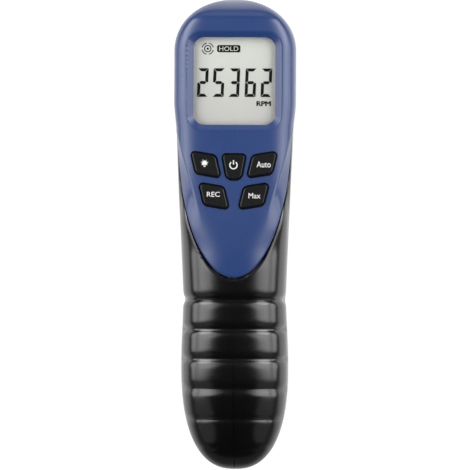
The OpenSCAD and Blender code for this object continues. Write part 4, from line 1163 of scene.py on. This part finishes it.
class TACHO_OT_stage(bpy.types.Operator):
    """Stage: white floor that keeps the shadow, with painted shade in its reflections near the butt and far from the
    body, seven pairs of lamps and the camera
    """
    bl_idname = "tacho.stage"
    bl_label = "Stage"

    def execute(self, context):
        sizes, _, light = settings()
        scene = context.scene
        mesh = bpy.data.meshes.new("floor")
        half = 3.0
        mesh.from_pydata([(-half, -half, 0), (half, -half, 0), (half, half, 0), (-half, half, 0)], [], [(0, 1, 2, 3)])
        floor = bpy.data.objects.new("floor", mesh)
        scene.collection.objects.link(floor)
        f = Finish("white_floor")
        path = {k: Value(f, v) for k, v in f.tree.nodes.new("ShaderNodeLightPath").outputs.items()}
        seen = path["Is Camera Ray"].larger(path["Is Glossy Ray"]).larger(path["Is Transmission Ray"])
        away = f.node("ShaderNodeVectorMath", {"operation": "DISTANCE"}, {0: f.place, 1: (0, 0.06, 0)}, 1)

        def fade(value, first, last, low=0.0, high=1.0):
            """Smooth step of a value between two of its levels."""
            return f.node("ShaderNodeMapRange", {"interpolation_type": "SMOOTHSTEP"},
                          {"Value": value, "From Min": first, "From Max": last, "To Min": low, "To Max": high})

        def matt(level):
            """Matt grey."""
            return f.node("ShaderNodeBsdfDiffuse", {}, {"Color": (level, level, level, 1)})

        # Painted shade: far marks the floor beyond 0.3 m from the body and foot the floor near the butt, where
        # reflections show a painted shadow
        far, foot = fade(away, 0.16, 0.3), fade(f.axis("Y"), -0.055, -0.155)
        plain, shaded, painted_shade = matt(0.8), matt(0.3), matt(0.1)
        glow = f.node("ShaderNodeEmission", {}, {"Color": fade(away, 0.4, 1.2, 0.8, 1.0), "Strength": 1.0})
        lit = f.node("ShaderNodeAddShader", {}, {0: shaded, 1: glow})
        mixed = f.node("ShaderNodeMixShader", {}, {0: seen, 1: plain, 2: lit})
        # Glossy rays see the dark 0.1 grey there in place of the lit white floor: painted shade in the reflections
        mixed = f.node("ShaderNodeMixShader", {}, {0: path["Is Glossy Ray"] * far.larger(foot), 1: mixed, 2: painted_shade})
        f.link(f.tree.nodes["Material Output"].inputs["Surface"], mixed)
        mesh.materials.append(f.material)

        for name, (turn, rise, high, wide, shape) in LAMPS.items():
            turn, rise = math.radians(turn), math.radians(rise)
            for side in (-1, 1):
                data = bpy.data.lights.new(name + "_lamp", "AREA")
                data.shape, data.size, data.size_y, data.energy = shape, high, wide, getattr(light, name)
                z = np.array([side * math.cos(rise) * math.cos(turn), math.cos(rise) * math.sin(turn), math.sin(rise)])
                x = np.cross([0, 1, 0], z)
                x /= np.linalg.norm(x)
                stand(bpy.data.objects.new(name + "_lamp", data), x, np.cross(z, x), z, z + [0, 0, LIFT * MM / 2])

        world = bpy.data.worlds.new("room")
        world.use_nodes = True
        surround = world.node_tree.nodes["Background"].inputs
        surround["Color"].default_value, surround["Strength"].default_value = (1, 1, 1, 1), light.room
        scene.world = world
        scene.view_settings.view_transform = "Standard"

        data = bpy.data.cameras.new("camera")
        view = bpy.data.objects.new("camera", data)
        a, far, roll = sizes.camera_side, sizes.camera_far, sizes.camera_roll
        target = np.array([0.0006, -0.0002, LIFT * MM])
        z = np.array([math.sin(a), 0, math.cos(a)])
        x, y = np.array([math.cos(a), 0, -math.sin(a)]), np.array([0.0, 1.0, 0.0])
        across, up = x * math.cos(roll) + y * math.sin(roll), y * math.cos(roll) - x * math.sin(roll)
        stand(view, across, up, z, target + z * far)
        data.sensor_width = 36
        data.lens = data.sensor_width * far / VIEW_WIDTH
        data.clip_end = 20
        scene.camera = view
        return {"FINISHED"}


OPERATORS = (TACHO_OT_cover, TACHO_OT_halves, TACHO_OT_door, TACHO_OT_keys, TACHO_OT_legends, TACHO_OT_display,
             TACHO_OT_nose, TACHO_OT_trigger, TACHO_OT_inside, TACHO_OT_stage)


class TACHO_PT_panel(bpy.types.Panel):
    """Sidebar panel with the pieces and their settings"""
    bl_idname = "TACHO_PT_panel"
    bl_label = "Hand tachometer"
    bl_space_type = "VIEW_3D"
    bl_region_type = "UI"
    bl_category = "Tachometer"

    def draw(self, context):
        for operator in OPERATORS:
            self.layout.operator(operator.bl_idname)
        for group in settings():
            for key in group.bl_rna.properties.keys():
                if key not in ("rna_type", "name"):
                    self.layout.prop(group, key)


CLASSES = (TachoSizes, TachoColours, TachoLight) + OPERATORS + (TACHO_PT_panel,)


def register():
    """Makes the classes and their settings known to Blender."""
    for cls in CLASSES:
        bpy.utils.register_class(cls)
    bpy.types.Scene.tacho_sizes = bpy.props.PointerProperty(type=TachoSizes)
    bpy.types.Scene.tacho_colours = bpy.props.PointerProperty(type=TachoColours)
    bpy.types.Scene.tacho_light = bpy.props.PointerProperty(type=TachoLight)


def unregister():
    """Takes the classes and their settings out again."""
    for name in ("tacho_sizes", "tacho_colours", "tacho_light"):
        delattr(bpy.types.Scene, name)
    for cls in reversed(CLASSES):
        bpy.utils.unregister_class(cls)


def main():
    """Builds every piece and the stage in order."""
    register()
    for operator in OPERATORS:
        group, name = operator.bl_idname.split(".")
        getattr(getattr(bpy.ops, group), name)()


if __name__ == "__main__":
    main()
